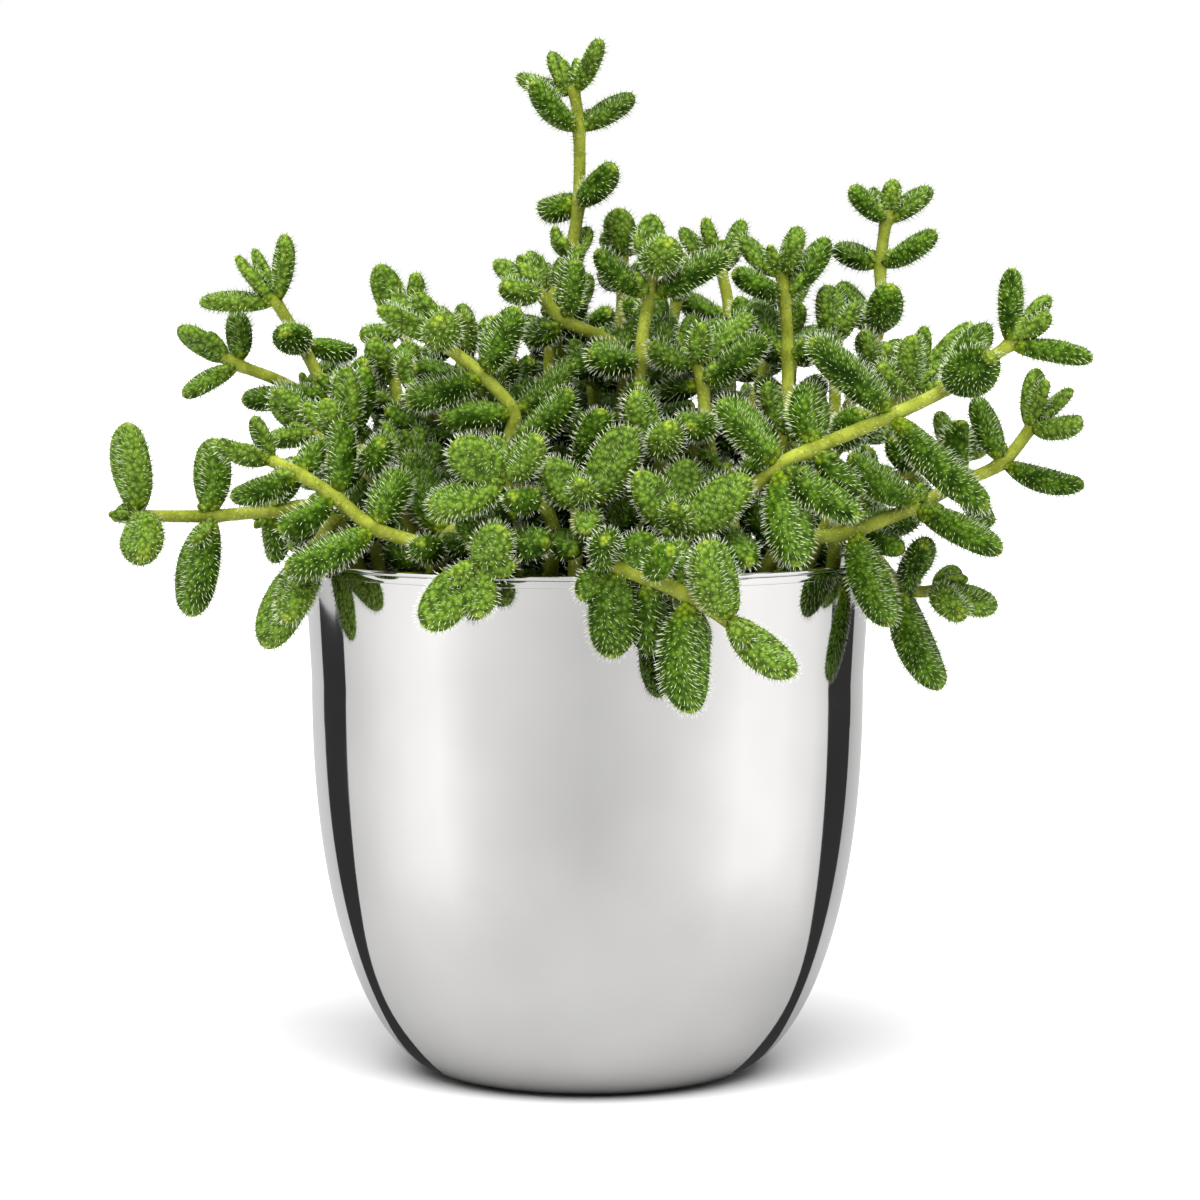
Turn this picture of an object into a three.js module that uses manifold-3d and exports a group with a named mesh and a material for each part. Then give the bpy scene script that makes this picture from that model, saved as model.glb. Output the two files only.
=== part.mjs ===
// Potted pickle plant: a polished steel pot, soil and a bush of stems with plump bristly leaves.
// Millimetres, +Z up, origin at the centre of the pot's flat underside, -Y towards the viewer.
import * as THREE from 'three';
import { mergeVertices } from 'three/addons/utils/BufferGeometryUtils.js';
import Module from 'manifold-3d';

const wasm = await Module();
wasm.setup();

// Pot
const rimRadius = 50;
const potHeight = 91;
const wall = 1.2;
const rimBand = 1.2;
const rimRound = 0.35;
const cornerHeight = 70;
const cornerRadius = 48.6;
const cornerDrop = 2.25;
const cornerFullness = 2.1;
const footRadius = 23;
const floorThickness = 1.5;
const insideStart = 4.5;
const potSegments = 32;
const cornerSteps = 6;

// Soil
const soilTop = 78;
const soilEdge = 77;
const soilGap = 0.35;
const soilFit = 0.7;
const soilCornerFit = 1.75;
const soilBump = 0.7;
const soilWaveAcross = 0.31;
const soilShiftAcross = 1.3;
const soilWaveDeep = 0.27;
const soilShiftDeep = 0.4;
const soilSegments = 14;
const holeBottom = 71.4;
const holeGap = 0.35;
const holeAbove = 2;

// Stems and leaves
const stemRadius = 1.3;
const stemSides = 4;
const stemFoot = 72;
const stemCollar = 79.5;
const ballsPerStep = 7;

// A leaf starts this far out from its stem's centre line, or this far back from the stem's end
const footDepth = 0.6;
const endDepth = 1;

// Leaf outline as [share of its length, share of its full thickness]: the true one, the one of the
// thick leaves placed by hand, and the one of all others
const leafOutline = [[0, 0.2], [0.14, 0.64], [0.3, 0.9], [0.5, 1], [0.7, 0.94], [0.86, 0.74], [0.96, 0.42]];
const fullOutline = [[0.18, 0.72], [0.52, 1], [0.86, 0.76]];
const plainOutline = [[0.26, 0.88], [0.76, 0.92]];
const fullSides = 5;
const plainSides = 4;
const facetShare = 1.6;
const fullThickness = 6.5;

// Room kept between stems, and how far leaves of one stem may press into each other
const clearance = 0.45;
const wallRoom = 1;
const facetRoom = 1.06;
const ownOverlap = 1;
const jointReach = 5;
const neckShare = 0.1;
const freeShare = 0.4;

// A leaf whose tip lies this far aside of its stem stands on the stem's surface, a straight one nearer in
const footRamp = 4;
// A leaf nearer to the depth direction than this share turns about X instead
const steepShare = 0.2;
// A shorter leaf is thinner by this share of the difference
const thinningShare = 0.5;

// Viewing point from which the placed stems are described
const eye = new THREE.Vector3(0, -700, 134.5);

// Stems placed by hand. A point is [x, z, depth]: x and z where it shows on the plane through the
// pot's axis, depth its real y. root is [x, y] in the soil. A leaf is [number of the point it grows
// from, x and z of its tip, its tip's depth from that point, its thickness].
const placedShoots = [
  {
    name: 'shoot_tall_centre',
    root: [-4, 14],
    points: [[-5, 110.5, 13], [-4, 128.5, 12], [-3, 143.5, 12], [-1.6, 153, 12], [-1.5, 166, 12],
      [-2.5, 173.5, 12]],
    leaves: [
      [1, 4, 134.5, -7, 5.5], [1, -14, 132.5, 3, 5.5], [2, 0.3, 149, 3, 3.2], [2, -6, 149.1, -2, 2.8],
      [3, 4.6, 159.7, -6, 6], [3, -8, 152.3, 6, 6.2], [4, -9.8, 174.3, -4, 5.6], [4, 8.1, 171.9, 4, 4.6],
      [5, 2.4, 181.7, -3, 4.3], [5, -6.6, 179.5, 2, 3.2], [5, -12.4, 175.3, 7, 3.8],
    ],
  },
  {
    name: 'shoot_centre_left',
    root: [3, -4],
    points: [[5, 110.5, -12], [6, 126.5, -16], [-4, 132.8, -20], [-9.2, 138.3, -22]],
    leaves: [
      [2, -1.8, 143.3, -3, 4.8], [2, -10.8, 129.8, 5, 5], [3, -14.6, 138.9, -7, 5],
      [3, -12, 144.1, 1, 2.8], [3, -9.4, 144.1, 4, 3.8], [3, -16.4, 143, 3, 3.4],
    ],
  },
  {
    name: 'shoot_centre',
    root: [9, -13],
    points: [[8.6, 103.5, -20], [9.3, 125.3, -23], [10.9, 136.8, -23], [11.8, 142.3, -23]],
    leaves: [
      [1, 0.3, 126.7, -4, 6.4], [1, 15, 133.2, 7, 4.6], [2, 1.4, 144.9, -2, 4.9], [2, 25, 144.3, -1, 5.3],
      [3, 14.4, 146.5, -8, 5.8], [3, 11.2, 151.3, 3, 4.4], [3, 8.6, 147.9, -1, 3],
    ],
  },
  {
    name: 'shoot_centre_right',
    root: [20, -12],
    points: [[22, 103.5, -23], [20.8, 115, -26], [20.3, 121.5, -26], [18.9, 126, -26]],
    leaves: [
      [1, 17.8, 113.9, -9, 6], [1, 27, 119.5, 6, 5], [2, 31.6, 129.5, -3, 5.6], [2, 11.5, 119.5, 5, 5],
      [3, 10.8, 128.2, -3, 5], [3, 29, 133.7, 2, 4.7], [3, 18.1, 133.7, 2, 4], [3, 20.3, 132.3, -4, 3.8],
    ],
  },
  {
    name: 'shoot_right_upper',
    root: [30, 2],
    points: [[34.5, 110.5, 0], [35.2, 126.5, 2], [34.5, 137.3, 2], [33.8, 141.5, 2]],
    leaves: [
      [1, 29, 135.5, 7, 5.2], [1, 44.5, 129.1, 2, 5.4], [2, 25.4, 141.1, -3, 5], [2, 42.2, 147.1, 3, 4.9],
      [3, 37.2, 149.1, -2, 4.5], [3, 26.8, 147.3, 2, 4], [3, 31.8, 145.9, -2, 2.4],
    ],
  },
  {
    name: 'shoot_back_middle',
    root: [16, 22],
    points: [[24, 110.5, 24], [24.8, 132.5, 25], [23.3, 142.1, 26]],
    leaves: [
      [1, 33, 136.5, 1, 5.4], [1, 16, 137, -1, 5.4], [2, 20.4, 150.7, -1, 3.6],
      [2, 27.2, 150.3, 1, 4], [2, 16.2, 148.8, 4, 3.7],
    ],
  },
  {
    name: 'shoot_tall_right',
    root: [33, 15],
    points: [[43, 110.5, 20], [50.8, 130.5, 24], [51.3, 142.3, 25], [52.2, 150, 25], [52.6, 152.3, 25]],
    leaves: [
      [1, 44, 139.3, 3, 5.2], [1, 53.2, 138.9, -7, 5.7], [2, 43, 145.3, 4, 5], [2, 61.2, 148, -4, 5],
      [3, 46, 156, -3, 4.8], [3, 60.2, 155.7, 4, 4.2], [4, 53.6, 157.4, -1, 3.2], [4, 49.6, 155.9, 3, 2.4],
    ],
  },
  {
    name: 'shoot_right_near',
    root: [38, -2],
    points: [[43, 110.5, 4], [43.4, 129.8, 7]],
    leaves: [
      [0, 36, 117.5, -6, 5.4], [0, 52, 117.5, 4, 5.4], [1, 41.9, 138.9, 2, 5.2],
      [1, 47.2, 135.7, -2, 3.6], [1, 44.6, 136.1, 3, 2.8],
    ],
  },
  {
    name: 'shoot_right_arch',
    root: [19, -27],
    points: [[23.5, 96.5, -38], [34, 107, -44], [40, 110.2, -43.5], [53.6, 116, -40], [63.5, 120.9, -36],
      [74.3, 128.5, -30], [76, 130.1, -29.5]],
    leaves: [
      [1, 23.3, 118.7, 1, 6.2], [1, 37.2, 89.3, -3, 7.4], [1, 48, 98.3, -4, 5.8], [2, 39, 121.7, 4, 6.8],
      [3, 39.3, 129.3, -2, 7], [3, 70.8, 99.5, -6, 6.6], [5, 74.6, 141.9, 0, 5.1], [5, 89, 125.9, -1, 4.8],
      [4, 71.2, 126.5, -10, 7.4], [4, 70.6, 131.9, 8, 5], [6, 81.4, 136.9, 2, 3.2], [6, 81.4, 133.9, -2, 3.6],
    ],
  },
  {
    name: 'shoot_right_middle',
    root: [27, -22],
    points: [[34, 91.9, -26], [47, 95.7, -24], [58, 100.1, -22], [65.5, 104.1, -20], [73, 107.7, -18],
      [78.6, 114.5, -17]],
    leaves: [
      [1, 53.3, 78.8, -7, 7.2], [1, 43, 107, 2, 5.6], [2, 73.2, 91.9, -4, 6.2], [2, 46, 108.8, -5, 6.4],
      [4, 87.6, 103.5, -3, 5], [4, 68.2, 119.3, 2, 5.2], [5, 79.1, 124.3, 3, 4.2], [5, 80.8, 122.3, -2, 3.2],
      [5, 85.4, 120.7, 1, 3], [5, 87.2, 114.9, -5, 5],
    ],
  },
  {
    name: 'shoot_right_inner',
    root: [34, -12],
    points: [[44, 99.5, -13], [57, 106.1, -11], [65.5, 108.8, -9]],
    leaves: [
      [1, 53.5, 112, -4, 5.2], [1, 60.5, 97, 2, 5], [2, 71.2, 114.5, -5, 3.9],
      [2, 64.8, 115.1, -3, 3.6], [2, 61.8, 116.7, 4, 3.8],
    ],
  },
  {
    name: 'shoot_right_low',
    root: [42, -12],
    points: [[45, 96.5, -14], [55.3, 86, -13], [62.2, 85, -13]],
    leaves: [
      [1, 62.3, 67.5, -3, 7.6], [1, 60.2, 95.3, -8, 6.2], [2, 72.4, 82.1, 0, 5.8],
      [2, 66, 80.9, -9, 5.8], [2, 65.8, 88.7, 4, 3.7],
    ],
  },
  {
    name: 'shoot_right_top',
    root: [30, -8],
    points: [[44, 110.5, -14], [57.8, 120.3, -16]],
    leaves: [
      [0, 49, 118.5, -4, 5.6], [1, 57, 130.1, -4, 5], [1, 51.2, 124.5, -6, 4.6],
      [1, 59.4, 131.7, 4, 3.6], [1, 67.6, 132.3, 4, 3.6],
    ],
  },
  {
    name: 'shoot_front_trailing',
    root: [4, -37],
    points: [[5, 91.9, -45], [4.8, 89.7, -53], [11, 87.5, -55.5], [18.4, 84.1, -56.5], [26, 79.3, -57]],
    leaves: [
      [1, 3.2, 94.3, -9, 5.2], [1, 13.4, 91.4, -5, 6], [1, -1.3, 83.7, -3, 4.6], [1, 4.4, 72.9, -1, 7.2],
      [3, 18.4, 63.3, 0, 8.2], [3, 16.4, 94.1, 3, 4.6], [4, 20.8, 93.9, -4, 7.6], [4, 37, 70.3, 0, 6.2],
      [4, 28.8, 76.1, -4, 2.8],
    ],
  },
  {
    name: 'shoot_front_left',
    root: [-11, -37],
    points: [[-14, 93.5, -45], [-20.3, 89.3, -50.5]],
    leaves: [
      [0, -23, 98.5, 2, 5], [1, -14.2, 95.9, -4, 5.8], [1, -28.7, 78.5, -1, 6.8],
      [1, -18.8, 79.9, -3, 5], [1, -12.6, 89.3, -3, 3.4],
    ],
  },
  {
    name: 'shoot_left_front',
    root: [-24, -25],
    points: [[-26.5, 91.1, -33], [-37.5, 96.2, -34.5], [-44.4, 101.7, -33], [-50.7, 105.7, -31],
      [-56.3, 108.5, -29.5]],
    leaves: [
      [1, -32.3, 106.3, 3, 6.4], [1, -53.2, 88.8, -4, 6.2], [3, -62.8, 101.4, -2, 5.2],
      [3, -47.4, 111.1, 6, 4.8], [4, -65.3, 111.2, -1, 4.4], [4, -58.7, 115.9, 0, 3.5],
    ],
  },
  {
    name: 'shoot_left_rim',
    root: [-37, -14],
    points: [[-43, 97.1, -18], [-49, 91.7, -23.5]],
    leaves: [
      [0, -39, 106.5, -3, 5.4], [0, -53.4, 96, 4, 5.8], [1, -57, 74.9, 1, 7], [1, -46.8, 74.1, -8, 7],
    ],
  },
  {
    name: 'shoot_left_upper',
    root: [-21, -14],
    points: [[-33, 99.5, -21], [-39.3, 106.8, -24], [-43.3, 113, -25]],
    leaves: [
      [1, -34.3, 108.3, -9, 5.8], [1, -46, 104.1, 3, 5], [2, -54.8, 108.7, -2, 4.8],
      [2, -42.4, 124.5, 1, 4.8], [2, -49.8, 118.1, 0, 3.6], [2, -46.4, 118.9, -4, 3.4],
    ],
  },
  {
    name: 'shoot_left_top',
    root: [-18, 8],
    points: [[-37, 106.5, 11], [-45.5, 119.5, 14], [-50, 128.1, 15], [-55.2, 136.8, 16]],
    leaves: [
      [1, -39, 125.5, -8, 5.8], [1, -55.4, 120.1, -5, 5.2], [2, -53.4, 130.7, -9, 6], [2, -40.6, 126.9, 5, 5],
      [3, -53, 147.8, -1, 4.4], [3, -68.2, 135.8, 1, 4.2], [3, -61.7, 144, -1, 3],
      [3, -58.6, 145.3, 3, 2.4],
    ],
  },
  {
    name: 'shoot_left_back',
    root: [-27, 16],
    points: [[-40, 106.5, 20], [-50, 119.5, 23], [-61.5, 124.9, 23], [-64, 126.3, 23]],
    leaves: [
      [1, -60.9, 118.7, -1, 5.2], [1, -42, 128, 4, 5.4], [2, -61.8, 134.5, 2, 4.8],
      [2, -71.3, 119.4, -1, 4.2], [3, -72.1, 131.3, 0, 4.1],
    ],
  },
  {
    name: 'shoot_left_low',
    root: [-38, -4],
    points: [[-45.5, 98.5, -6], [-56, 99.1, -8], [-66.2, 98.3, -9], [-80, 98.3, -10]],
    leaves: [
      [1, -50.5, 108.5, 3, 6], [1, -55, 90.5, 7, 5.6], [2, -65.6, 112.1, 1, 6.8], [2, -70.2, 80.5, -1, 7.8],
      [2, -69.8, 92.9, -5, 2.8], [3, -81, 114.8, 0, 7.2], [3, -78, 91.1, -10, 7.6],
      [3, -83, 99.1, 2, 3.2],
    ],
  },
  {
    name: 'shoot_back_left',
    root: [-13, 20],
    points: [[-26, 114.5, 20], [-33, 132, 21]],
    leaves: [
      [0, -20, 124, -3, 5.6], [0, -38, 116.5, 6, 5.8], [1, -36.8, 142.5, 1, 5.2], [1, -29.8, 141.3, -1, 4.6],
      [1, -40.4, 129.7, -4, 5], [1, -24.5, 134.5, 3, 4.6],
    ],
  },
  {
    name: 'shoot_left_centre',
    root: [-9, -14],
    points: [[-12, 99.5, -26], [-13.6, 111.3, -30], [-12.9, 116.5, -31], [-18.3, 123, -31],
      [-26, 129.1, -31]],
    leaves: [
      [1, -2.4, 120.2, -4, 6], [1, -24.5, 112.5, 6, 5.4], [2, -2.4, 125.1, 3, 4.4], [3, -12, 135, -2, 6],
      [3, -31.8, 118.1, -3, 6.2], [4, -26, 132.9, -10, 5.8], [4, -36.8, 134.9, -3, 4.3],
      [4, -30, 137.5, 2, 3.7], [4, -35, 137.9, 5, 3.4],
    ],
  },
  {
    name: 'shoot_centre_low_left',
    root: [-7, -29],
    points: [[-6, 95.5, -39], [-9, 101.5, -44.5], [-15, 104.8, -47]],
    leaves: [
      [2, -23.8, 111, -3, 6.6], [2, -27.8, 99.7, -3, 6.2], [2, -8.2, 112.3, -4, 5.6],
      [2, -17, 112.7, 2, 4],
    ],
  },
  {
    name: 'shoot_centre_low',
    root: [3, -27],
    points: [[2, 93.5, -36], [0.3, 100.8, -44]],
    leaves: [
      [0, 10, 102.5, -2, 5], [1, 8, 113.9, 2, 7], [1, -8.9, 106.3, -1, 6], [1, 0, 95.3, -7, 3.6],
      [1, -2, 106.9, -4, 3.4],
    ],
  },
  {
    name: 'shoot_right_low_centre',
    root: [13, -34],
    points: [[15, 88.5, -40], [16, 95.5, -46.5]],
    leaves: [
      [1, 28.8, 105.1, -2, 6.6], [1, 8.8, 106.1, -2, 5.6], [1, 17.6, 108.4, 4, 6], [1, 15.4, 100.3, -6, 4.2],
    ],
  },
  {
    name: 'shoot_centre_middle',
    root: [13, -21],
    points: [[13, 99.5, -32], [13, 110, -36.5]],
    leaves: [
      [0, 24, 105.5, 1, 5.4], [1, 8.4, 120.3, -2, 5.6], [1, 12.6, 110.9, -10, 5.6], [1, 18.5, 118.5, 3, 4.6],
    ],
  },
  {
    name: 'shoot_back_centre',
    root: [1, 21],
    points: [[4.3, 118.7, 19], [5.4, 130.1, 19], [6.2, 138, 20], [6.1, 145, 20]],
    leaves: [
      [1, 0.1, 132.4, -3, 5.2], [1, 11, 134.1, 3, 5.2], [2, 2.5, 141.8, 2, 4.6], [2, 10.1, 142.9, -3, 4.8],
      [3, 5.5, 152.3, -3, 5.4], [3, 8.9, 149.2, 3, 4.2], [3, 2.9, 148.1, 2, 3.8],
    ],
  },
  {
    name: 'shoot_back_right',
    root: [31, 8],
    points: [[36, 109, 10], [35.6, 117.8, 11], [35.6, 125.4, 12], [34.9, 131, 12]],
    leaves: [
      [0, 31.2, 115.2, -3, 5.2], [0, 41.3, 114.3, 2, 5.2], [1, 30, 122.6, 2, 5.4], [1, 41.6, 122.2, -3, 5.6],
      [2, 30.3, 130.1, -2, 5.2], [2, 40.9, 128.4, 3, 5], [3, 37.2, 135.9, 1, 3.8], [3, 32.5, 134.1, 2, 3.8],
    ],
  },
  {
    name: 'shoot_back_right_end',
    root: [38, 8],
    points: [[48.3, 111.7, 12], [50.1, 119.6, 14], [51.5, 124.9, 14]],
    leaves: [
      [0, 44.1, 116.1, -3, 5.2], [0, 54.3, 115.6, 3, 5.2], [1, 44.4, 123.6, 2, 5], [1, 55.9, 121.3, -2, 5],
      [2, 48.3, 131, -2, 5], [2, 55.3, 129.2, 2, 4.6],
    ],
  },
  {
    name: 'shoot_left_inner',
    root: [-31, 6],
    points: [[-37.9, 106.4, 4], [-42.7, 110.8, 3], [-48.5, 113.4, 3]],
    leaves: [
      [0, -41.8, 115.2, 2, 5.4], [0, -34.4, 111.7, -3, 5], [1, -43.9, 105, 1, 5.2], [2, -55.5, 120.1, 0, 5.6],
      [2, -56.2, 111.7, -3, 4.6], [2, -48.9, 118.7, 4, 4],
    ],
  },
  {
    name: 'shoot_left_back_inner',
    root: [-25, 15],
    points: [[-31.3, 109.9, 11], [-33, 117.8, 13], [-34.4, 123.6, 14]],
    leaves: [
      [0, -37.9, 114.3, -3, 5.4], [0, -26, 113.4, 2, 5.4], [1, -39.7, 120.8, 2, 5.4],
      [1, -27.4, 121.9, -3, 5.4],
      [2, -37.9, 129.6, -2, 5.2], [2, -30.6, 128.9, 2, 4.8],
    ],
  },
  {
    name: 'shoot_back_left_centre',
    root: [-14, 11],
    points: [[-14, 113.4, 11], [-15.4, 121.3, 12], [-17, 127.8, 13]],
    leaves: [
      [0, -19.8, 117, -3, 5.2], [0, -8.4, 117.8, 2, 5.2], [1, -21.4, 125.4, 2, 5.2],
      [1, -9.3, 126.1, -3, 5.4],
      [2, -14, 135.9, 1, 5.2], [2, -22.5, 133.4, -2, 4.8],
    ],
  },
];

// Stems of the inside and the back, placed by rule
const innerPlaces = 24;
const innerCount = 23;
const innerSeed = 4217;
const seedStep = 101;
const goldenAngle = 2.39996323;
const rootSpread = 42;
const bushCentre = 88;
const bushRadius = 60;
const bushRise = 56;
const frontShare = 0.66;
const frontSide = 0.1;
const shortestReach = 0.86;
const reachSpread = 0.34;
const headingSpread = 24;
const steepestRise = 86;
const riseFall = 82;
const riseBend = 1.5;
const riseSpread = 14;
const archHeight = 106;
const archOut = 0.25;
const archUp = 0.6;
const archSlack = 0.9;
const jointSpacing = 9.5;
const jointsBack = [4, 3, 2, 1, 0];
const lowestJoint = 0.08;

// The pairs of leaves of such a stem, from its end down
const pairTilt = [32, 55, 70];
const pairLength = [8.5, 12.5, 15.5];
const pairThickness = [3.5, 5.2, 6.3];
const rollSpread = 0.5;
const tiltSpread = 16;
const smallestLeaf = 0.85;
const leafSpread = 0.3;
const thicknessShare = 0.4;

// What is tried in turn for a leaf that meets another: turn in depth, turn sideways, size
const leafTries = [
  [0, 0, 1], [10, 0, 1], [-10, 0, 1], [20, 0, 1], [-20, 0, 1], [0, 10, 1], [0, -10, 1],
  [12, 12, 1], [-12, 12, 1], [12, -12, 1], [-12, -12, 1], [30, 0, 1], [-30, 0, 1], [0, 20, 0.95],
  [0, -20, 0.95], [22, 18, 0.9], [-22, 18, 0.9], [22, -18, 0.9], [-22, -18, 0.9], [0, 0, 0.85],
  [12, 0, 0.8], [-12, 0, 0.8], [0, 14, 0.8], [0, -14, 0.8], [35, 25, 0.8], [-35, 25, 0.8],
  [35, -25, 0.8], [-35, -25, 0.8], [0, 0, 0.7], [20, 0, 0.7], [-20, 0, 0.7], [0, 25, 0.7], [0, -25, 0.7],
];
// What is tried in turn for a stem that meets another: turn, lift and the moves of its root
const stemTries = [
  [0, 0, 0, 0], [9, 0, 0, 0], [-9, 0, 0, 0], [0, 8, 2, 0], [0, -8, -2, 0], [0, 0, 0, 3], [0, 0, 0, -3],
  [8, 0, 3, 3], [-8, 0, 3, -3], [8, 0, -3, 3], [-8, 0, -3, -3], [16, 4, 0, 4], [-16, 4, 0, -4],
  [16, -6, 4, 0], [-16, -6, -4, 0], [25, 0, 4, 4], [-25, 0, -4, -4], [0, 12, 5, -4], [0, -12, -5, 4],
];

const materials = {
  steel: new THREE.MeshStandardMaterial({ color: 0xd2d3d4, roughness: 0.08, metalness: 1 }),
  soil: new THREE.MeshStandardMaterial({ color: 0x241a12, roughness: 0.95, metalness: 0 }),
  leaf: new THREE.MeshStandardMaterial({ color: 0x4c7a2b, roughness: 0.5, metalness: 0 }),
};

const radians = THREE.MathUtils.degToRad;

// A repeatable random number from 0 to 1
function randomFrom(seed) {
  let state = seed >>> 0;
  return () => {
    state = (state + 0x6d2b79f5) >>> 0;
    let mixed = state;
    mixed = Math.imul(mixed ^ (mixed >>> 15), mixed | 1);
    mixed ^= mixed + Math.imul(mixed ^ (mixed >>> 7), mixed | 61);
    return ((mixed ^ (mixed >>> 14)) >>> 0) / 4294967296;
  };
}

function toSolid(geometry) {
  const bare = geometry.clone();
  bare.deleteAttribute('normal');
  bare.deleteAttribute('uv');
  const merged = mergeVertices(bare, 1e-4);
  const mesh = new wasm.Mesh({
    numProp: 3,
    vertProperties: new Float32Array(merged.attributes.position.array),
    triVerts: new Uint32Array(merged.index.array),
  });
  return new wasm.Manifold(mesh);
}

function toGeometry(solid) {
  const mesh = solid.getMesh();
  const geometry = new THREE.BufferGeometry();
  geometry.setAttribute('position', new THREE.BufferAttribute(mesh.vertProperties, 3));
  geometry.setIndex(new THREE.BufferAttribute(mesh.triVerts, 1));
  geometry.computeVertexNormals();
  return geometry;
}

function namedMesh(name, solid, material) {
  const mesh = new THREE.Mesh(toGeometry(solid), material);
  mesh.name = name;
  return mesh;
}

// Radius of the pot's outside at a height: a gentle taper over a full rounded lower edge
function potRadius(height) {
  if (height >= cornerHeight) {
    const share = (height - cornerHeight) / (potHeight - cornerHeight);
    return cornerRadius + (rimRadius - cornerRadius) * share;
  }
  const drop = (cornerHeight - height) / cornerHeight;
  return footRadius + (cornerRadius - footRadius) * (1 - drop ** cornerDrop) ** (1 / cornerFullness);
}

function cornerHeights() {
  const heights = [];
  for (let i = 0; i < cornerSteps; i += 1) {
    const angle = (Math.PI / 2) * (i / cornerSteps);
    heights.push(cornerHeight * (1 - Math.cos(angle)));
  }
  return heights;
}

// A lathe round the Z axis from [radius, height] points that run from the axis and back to it
function turned(profile, segments) {
  const points = profile.map(([radius, height]) => new THREE.Vector2(radius, height));
  const geometry = new THREE.LatheGeometry(points, segments);
  geometry.rotateX(Math.PI / 2);
  return geometry;
}

function makePot() {
  const heights = cornerHeights();
  const outside = heights.map((height) => [potRadius(height), height]);
  const inside = heights
    .filter((height) => height > insideStart)
    .map((height) => [potRadius(height) - wall, height + rimRound]);
  const profile = [
    [0, 0],
    ...outside,
    [cornerRadius, cornerHeight],
    [rimRadius - rimRound, potHeight - rimBand - rimRound],
    [rimRadius, potHeight - rimBand],
    [rimRadius, potHeight - rimRound],
    [rimRadius - wall / 2, potHeight],
    [rimRadius - wall, potHeight - rimRound],
    [cornerRadius - wall, cornerHeight],
    ...inside.reverse(),
    [footRadius - wall, floorThickness],
    [0, floorThickness],
  ];
  return toSolid(turned(profile, potSegments));
}

function soilSurface(x, y) {
  const across = Math.sin(x * soilWaveAcross + soilShiftAcross);
  const deep = Math.cos(y * soilWaveDeep + soilShiftDeep);
  return soilBump * across * deep;
}

function makeSoil(stems) {
  const side = cornerHeights()
    .filter((height, i) => height > insideStart && i % 2 === 0)
    .map((height) => [potRadius(height) - wall - soilCornerFit, height + soilCornerFit / 2]);
  const topRadius = potRadius(soilEdge) - wall - soilFit;
  const profile = [
    [0, floorThickness + soilGap],
    [footRadius - wall - soilCornerFit, floorThickness + soilGap],
    ...side,
    [cornerRadius - wall - soilFit, cornerHeight],
    [topRadius, soilEdge],
    [topRadius / 2, soilTop],
    [0, soilTop],
  ];
  const geometry = turned(profile, soilSegments);
  const places = geometry.attributes.position;
  for (let i = 0; i < places.count; i += 1) {
    if (places.getZ(i) > soilEdge) {
      places.setZ(i, soilTop + soilSurface(places.getX(i), places.getY(i)));
    }
  }
  let soil = toSolid(geometry);
  for (const stem of stems) {
    soil = soil.subtract(stemHole(stem.curve.points[0]));
  }
  return soil;
}

function stemHole(foot) {
  const depth = stemCollar + holeAbove - holeBottom;
  const radius = stemRadius + holeGap / Math.cos(Math.PI / stemSides);
  const hole = new THREE.CylinderGeometry(radius, radius, depth, stemSides);
  hole.rotateX(Math.PI / 2);
  hole.translate(foot.x, foot.y, holeBottom + depth / 2);
  return toSolid(hole);
}

// A smooth curve whose even steps fall on the points that it is drawn through
class StemCurve extends THREE.CatmullRomCurve3 {
  constructor(points) {
    super(points, false, 'catmullrom', 0.5);
  }

  getPointAt(share, target) {
    return this.getPoint(share, target);
  }

  getTangentAt(share, target) {
    return this.getTangent(share, target);
  }
}

// The place at a depth that shows at x and z from the viewing point
function seen([x, z, depth]) {
  const onPlane = new THREE.Vector3(x, 0, z);
  return onPlane.sub(eye).multiplyScalar((depth - eye.y) / -eye.y).add(eye);
}

function footPoints(x, y) {
  return [new THREE.Vector3(x, y, stemFoot), new THREE.Vector3(x, y, stemCollar)];
}

function stemBalls(curve) {
  const balls = [];
  const segments = curve.points.length - 1;
  const count = segments * ballsPerStep;
  for (let i = 0; i <= count; i += 1) {
    balls.push({ at: curve.getPoint(i / count), radius: stemRadius, share: 0 });
  }
  return balls;
}

function leafBalls(base, tip, thickness) {
  return leafOutline.map(([share, width]) => ({
    at: base.clone().lerp(tip, share),
    radius: facetRoom * 0.5 * thickness * width,
    share,
  }));
}

// Whether a ball keeps off the pot's wall and rim
function clearOfPot(ball) {
  const out = Math.hypot(ball.at.x, ball.at.y);
  const room = ball.radius + clearance;
  if (ball.at.z - room > potHeight) {
    return true;
  }
  const outside = out - room > rimRadius;
  const inside = out + room < rimRadius - wall - wallRoom;
  return (outside && ball.at.z > room) || (inside && ball.at.z - room > soilTop);
}

const placed = [];

function meets(ball, other, gap) {
  const room = ball.radius + other.radius + gap;
  return ball.at.distanceToSquared(other.at) < room * room;
}

function stemIsClear(balls, owner) {
  for (const ball of balls) {
    if (ball.at.z > stemCollar + 1 && !clearOfPot(ball)) {
      return false;
    }
    for (const other of placed) {
      if (other.owner !== owner && meets(ball, other, clearance)) {
        return false;
      }
    }
  }
  return true;
}

function leafIsClear(balls, owner, joint) {
  for (const ball of balls) {
    if (ball.share > neckShare && !clearOfPot(ball)) {
      return false;
    }
    for (const other of placed) {
      if (other.owner !== owner) {
        if (meets(ball, other, clearance)) {
          return false;
        }
      } else if (ball.share > freeShare && meets(ball, other, -ownOverlap)) {
        const nearJoint = other.at.distanceTo(joint) < jointReach;
        if (!nearJoint) {
          return false;
        }
      }
    }
  }
  return true;
}

function place(balls, owner) {
  for (const ball of balls) {
    placed.push({ ...ball, owner });
  }
}

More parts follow.
